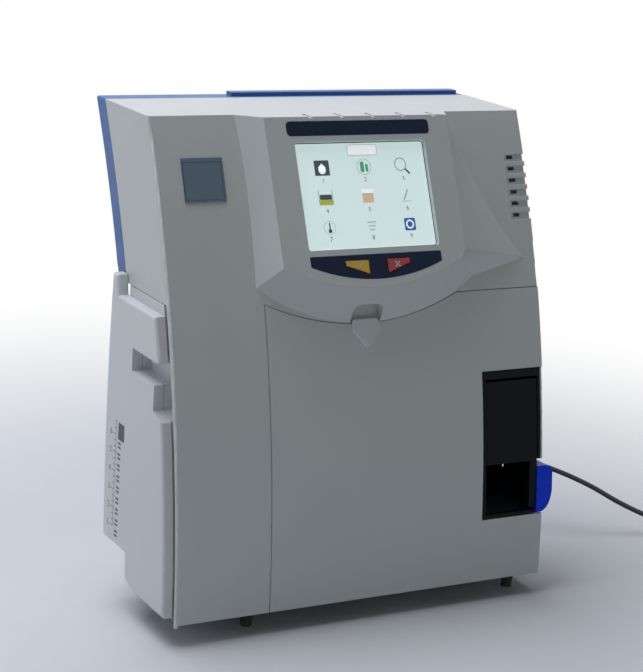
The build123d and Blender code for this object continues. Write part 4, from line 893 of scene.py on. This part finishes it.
# %% Data port pins
port_place = facing(40, 24.9, socket_z, 0, 180)
pin_rows = ((5, 1.4), (4, -1.4))
pin_pitch = 2.75
pin_shapes = []
for count, rise in pin_rows:
    for index in range(count):
        across = (index - (count - 1) / 2) * pin_pitch
        pin_shapes.append(disc(0.45 * mm, 0.0, 5.0 * mm, (across * mm, rise * mm), 12))
pins = piece("data_port_pins", joined(*pin_shapes), gold_pins, "analyzer", port_place)
print("data pins:", len(pin_shapes))

# %% Level scale on the pack
pack_side = facing(-174.0, 0, 0, 0, -90)
scale_x = -8.0
scale_low = 62.0
mark_step = 5.0
marks_per_number = 3


def scale_mark(width, height, corner, x, rise):
    """One printed mark on the pack's side, in millimetres."""
    return plate(width * mm, height * mm, corner * mm, 0.0, 0.06 * mm, (x * mm, rise * mm))


scale_shapes = [scale_mark(0.5, 86.0, 0, scale_x, 105.0)]
for index in range(18):
    reach = 6.0 if index % marks_per_number == 0 else 3.5
    rise = scale_low + index * mark_step
    scale_shapes.append(scale_mark(reach, 0.5, 0, scale_x - reach / 2, rise))
for index in range(9):
    rise = 56.0 + index * 9.0
    scale_shapes.append(scale_mark(5.5, 1.6, 0.3, -1.5, rise))
    scale_shapes.append(scale_mark(5.5, 1.6, 0.3, -1.5, rise + 3.4))
scale_ink = moulded("printed_scale_grey", "#4A515B", 0.55, relief=0.03, edge=0.05)
piece("pack_scale", joined(*scale_shapes), scale_ink, "pack", pack_side)
square_shape = plate(11.0 * mm, 13.5 * mm, 0.5 * mm, 0.0, 0.08 * mm, (1.2 * mm, 141.0 * mm))
piece("pack_square", square_shape, scale_ink, "pack", pack_side)
for index in range(6):
    rise = scale_low + index * marks_per_number * mark_step
    number_plate(
        "pack_scale_number_" + str(index + 1),
        str(index + 1),
        5.0,
        scale_ink,
        "pack",
        pack_side @ Matrix.Translation((-17.5 * mm, rise * mm, 0)),
    )
print("scale marks:", len(scale_shapes) - 1)

# %% [markdown]
# ## Marks on the adapter
# A plug-in adapter has a blank rating label pressed into its side and a small green light on
# its top.

# %% Adapter label and light
label_film = moulded("satin_label_film_grey", "#8F959C", 0.45, relief=0.04, edge=0.1)
label_place = facing(516.1, -35.108, 22.0)
label_width = 46
label_height = 22
label_shape = plate(label_width * mm, label_height * mm, 2 * mm, 0.0, 0.15 * mm)
piece("adapter_label", label_shape, label_film, "analyzer", label_place)
glow_green = screen_ink("lamp_green", "#58D680", 0.6)
lens_profile = [(0.0, 0.0), (1.6, 0.0), (1.5, 0.3), (0.9, 0.6), (0.0, 0.7)]
lens = turned([(radius * mm, rise * mm) for radius, rise in lens_profile], 24)
lens_place = Matrix.Translation((490 * mm, -19.1 * mm, 43.9 * mm))
piece("adapter_light", lens, glow_green, "analyzer", lens_place, soft_edges=True)
print("adapter label is", label_width, "by", label_height, "mm")

# %% [markdown]
# ## The low-voltage lead
# The lead leaves the back of the analyzer, drops to the bench and runs off to the right. Its
# route is a handful of points, and one NURBS spline passes smoothly near them. What
# the picture doesn't show is wound into a flat coil beside the analyzer, and the adapter stands
# next to it. The coil winds inwards for five half turns, climbs onto itself in the sixth and
# winds outwards again.

# %% Route of the lead
lead_diameter = 4.5 * mm
lead_route = [
    (120, 66.092, 85),
    (120, 96.792, 85),
    (141, 119.792, 81),
    (173, 122.792, 75),
    (204, 105.792, 69),
    (233, 73.792, 62),
    (264, 36.792, 55),
    (294, 15.792, 42.5),
    (319, 1.792, 27),
    (345, -12.208, 15),
    (373, -21.208, 3.7),
    (404, -24.208, 2.3),
    (435.5, -24.208, 2.3),
]
coil_points = 16
coil_turns = 5
coil_radius = 32.775
coil_step = 2.55
coil_x = 440
coil_y = 8.567
coil_low = 2.3
coil_rise = 5
for index in range(coil_turns * coil_points):
    angle = radians(-90 + (index + 0.5) * 360 / coil_points)
    half_turns = (index + 0.5) / (coil_points / 2)
    climb = min(1, max(0, half_turns - 5))
    radius = coil_radius - coil_step * min(half_turns, 5) + coil_step * max(0, half_turns - 6)
    reach = radius / cos(pi / coil_points)
    x = coil_x + reach * cos(angle)
    y = coil_y + coil_step * climb + reach * sin(angle)
    lead_route.append((x, y, coil_low + coil_rise * climb))
lead_route += [(445.3, -19.108, 7.3), (460, -19.108, 7.3), (466, -19.108, 7.3)]

lead_curve = bpy.data.curves.new("power_lead_run", "CURVE")
lead_curve.dimensions = "3D"
spline = lead_curve.splines.new("NURBS")
spline.points.add(len(lead_route) - 1)
for point, (x, y, z) in zip(spline.points, lead_route):
    point.co = (x * mm, y * mm, z * mm, 1)
spline.order_u = 3
spline.use_endpoint_u = True
spline.resolution_u = 10
lead_curve.bevel_depth = lead_diameter / 2
lead_curve.bevel_resolution = 4
lead_curve.use_fill_caps = True
lead_curve.materials.append(sheath)
lead = bpy.data.objects.new("power_lead_run", lead_curve)
bpy.context.scene.collection.objects.link(lead)
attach(lead, "analyzer")
print("lead has", len(lead_route), "control points")

# %% [markdown]
# ## Plug and strain relief
# The plug is over-moulded on the lead: a barrel with grip rings, then a tapered sleeve with
# slots that lets the lead bend without kinking. A turned profile gives both, because every
# section is round.

# %% Plug on the lead
plug_x = 120
plug_back = 27.092
plug_profile = [(2.0, -9.5), (3.3, -9.3), (3.3, 0.0), (5.0, 0.0), (5.5, 0.6)]
for start in (4.0, 7.0, 10.0):
    plug_profile += [(5.5, start), (5.2, start + 0.3), (5.2, start + 1.1), (5.5, start + 1.4)]
plug_profile += [(5.5, 19.0), (5.0, 20.6), (4.2, 21.0)]
for ridge in range(5):
    start = 21.0 + ridge * 3.6
    size = 4.2 - ridge * 0.26
    plug_profile += [(size, start + 0.2), (size - 0.05, start + 2.2), (size - 0.8, start + 2.4)]
    plug_profile += [(size - 0.85, start + 3.3), (size - 0.26, start + 3.5)]
plug_profile += [(2.9, 39.0), (2.0, 39.0), (2.0, -9.5)]
plug_shape = turned([(radius * mm, along * mm) for radius, along in plug_profile])
plug_start = Matrix.Translation((plug_x * mm, plug_back * mm, socket_z * mm))
plug_place = plug_start @ Matrix.Rotation(-pi / 2, 4, "X")
lead_end = piece(
    "lead_plug_moulding",
    plug_shape,
    charcoal_abs,
    "analyzer",
    plug_place,
    soft_edges=True,
)
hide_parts("lead_plug")
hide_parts("power_lead", "power_lead_coil")
plug_low = min(vertex.co.y for vertex in lead_end.data.vertices)
plug_high = max(vertex.co.y for vertex in lead_end.data.vertices)
print("plug runs in y from", round(plug_low * 1000, 1), "to", round(plug_high * 1000, 1), "mm")

# %% [markdown]
# ## Floor, backdrop and lamps
# A product picture on a white sweep has a floor that carries the shadow and a backdrop with no
# horizon. A wide plane with a soft paper finish is the floor, and it fades to white away from
# the analyzer for the rays that look at it. The world is pale and even, and those rays see it
# white too. Three soft lamps give the direction: a broad one above and behind, a soft one from
# the left, and a weak one in front so that the face stays readable.


# %% Floor
def looked_at(tree):
    """One for camera, glossy and transmission rays, and zero for the light that falls on things."""
    rays = add(tree, "ShaderNodeLightPath")
    found = rays.outputs["Is Camera Ray"]
    for kind in ("Is Glossy Ray", "Is Transmission Ray"):
        either = add(tree, "ShaderNodeMath", {0: found, 1: rays.outputs[kind]}, operation="MAXIMUM")
        found = either.outputs[0]
    return found


floor_paper, tree, shader, place = start_material("matt_paper_sweep")
fibre_scale = 1 / (125 * mm)
fibre = add(tree, "ShaderNodeTexNoise", {"Vector": place, "Scale": fibre_scale, "Detail": 4.0})
surface(tree, shader, tones=(fibre.outputs["Fac"], colour("#E4E7EC"), colour("#EBEEF2")))
shader.inputs["Roughness"].default_value = 0.8
fade_start = 0.22
fade_end = 0.95
away = add(tree, "ShaderNodeVectorMath", {0: place}, operation="LENGTH")
far = add(
    tree,
    "ShaderNodeMapRange",
    {0: away.outputs["Value"], 1: fade_start, 2: fade_end, 3: 0.0, 4: 1.0},
    interpolation_type="SMOOTHSTEP",
)
share = add(
    tree,
    "ShaderNodeMath",
    {0: far.outputs[0], 1: looked_at(tree)},
    operation="MULTIPLY",
)
glow = add(tree, "ShaderNodeEmission", {"Color": (1, 1, 1, 1), "Strength": 1.0})
sweep_parts = {0: share.outputs[0], 1: shader.outputs[0], 2: glow.outputs[0]}
sweep_mix = add(tree, "ShaderNodeMixShader", sweep_parts)
paper_end = [node for node in tree.nodes if node.type == "OUTPUT_MATERIAL"][0]
tree.links.new(sweep_mix.outputs[0], paper_end.inputs["Surface"])

sweep = bmesh.new()
bmesh.ops.create_grid(sweep, x_segments=4, y_segments=4, size=6.0)
floor_mesh = bpy.data.meshes.new("floor")
sweep.to_mesh(floor_mesh)
sweep.free()
floor = bpy.data.objects.new("floor", floor_mesh)
floor_mesh.materials.append(floor_paper)
bpy.context.scene.collection.objects.link(floor)
floor.location = (0, 0, -0.0002)
print("floor is", floor.dimensions.x, "m wide")

# %% World
world = bpy.data.worlds.new("pale_room")
bpy.context.scene.world = world
world.use_nodes = True
tree = world.node_tree
tree.nodes.clear()
room = add(tree, "ShaderNodeBackground", {"Color": colour("#D6E2E2"), "Strength": 0.08})
white = add(tree, "ShaderNodeBackground", {"Color": (1, 1, 1, 1), "Strength": 1.0})
room_parts = {0: looked_at(tree), 1: room.outputs[0], 2: white.outputs[0]}
room_mix = add(tree, "ShaderNodeMixShader", room_parts)
add(tree, "ShaderNodeOutputWorld", {"Surface": room_mix.outputs[0]})
print("world is", world.name)


# %% Lamps
def lamp(name, place, target, width, height, power, tone):
    """A soft rectangular lamp that looks at a point."""
    light = bpy.data.lights.new(name, "AREA")
    light.shape = "RECTANGLE"
    light.size = width
    light.size_y = height
    light.energy = power
    light.color = colour(tone)[:3]
    holder = bpy.data.objects.new(name, light)
    bpy.context.scene.collection.objects.link(holder)
    holder.location = place
    aim = Vector(target) - Vector(place)
    holder.rotation_euler = aim.to_track_quat("-Z", "Y").to_euler()
    return holder


lamp("top_lamp", (-0.35, 0.42, 1.75), (0, 0, 0.3), 1.6, 1.2, 25, "#F6F8FF")
lamp("left_lamp", (-1.8, 0.2, 0.8), (0, 0, 0.2), 1.0, 1.2, 3.5, "#F4F7FF")
lamp("front_lamp", (0.3, -2.2, 1.0), (0, 0, 0.2), 1.4, 1.0, 0.5, "#F6F8FF")

# %% View transform
bpy.context.scene.view_settings.view_transform = "Standard"
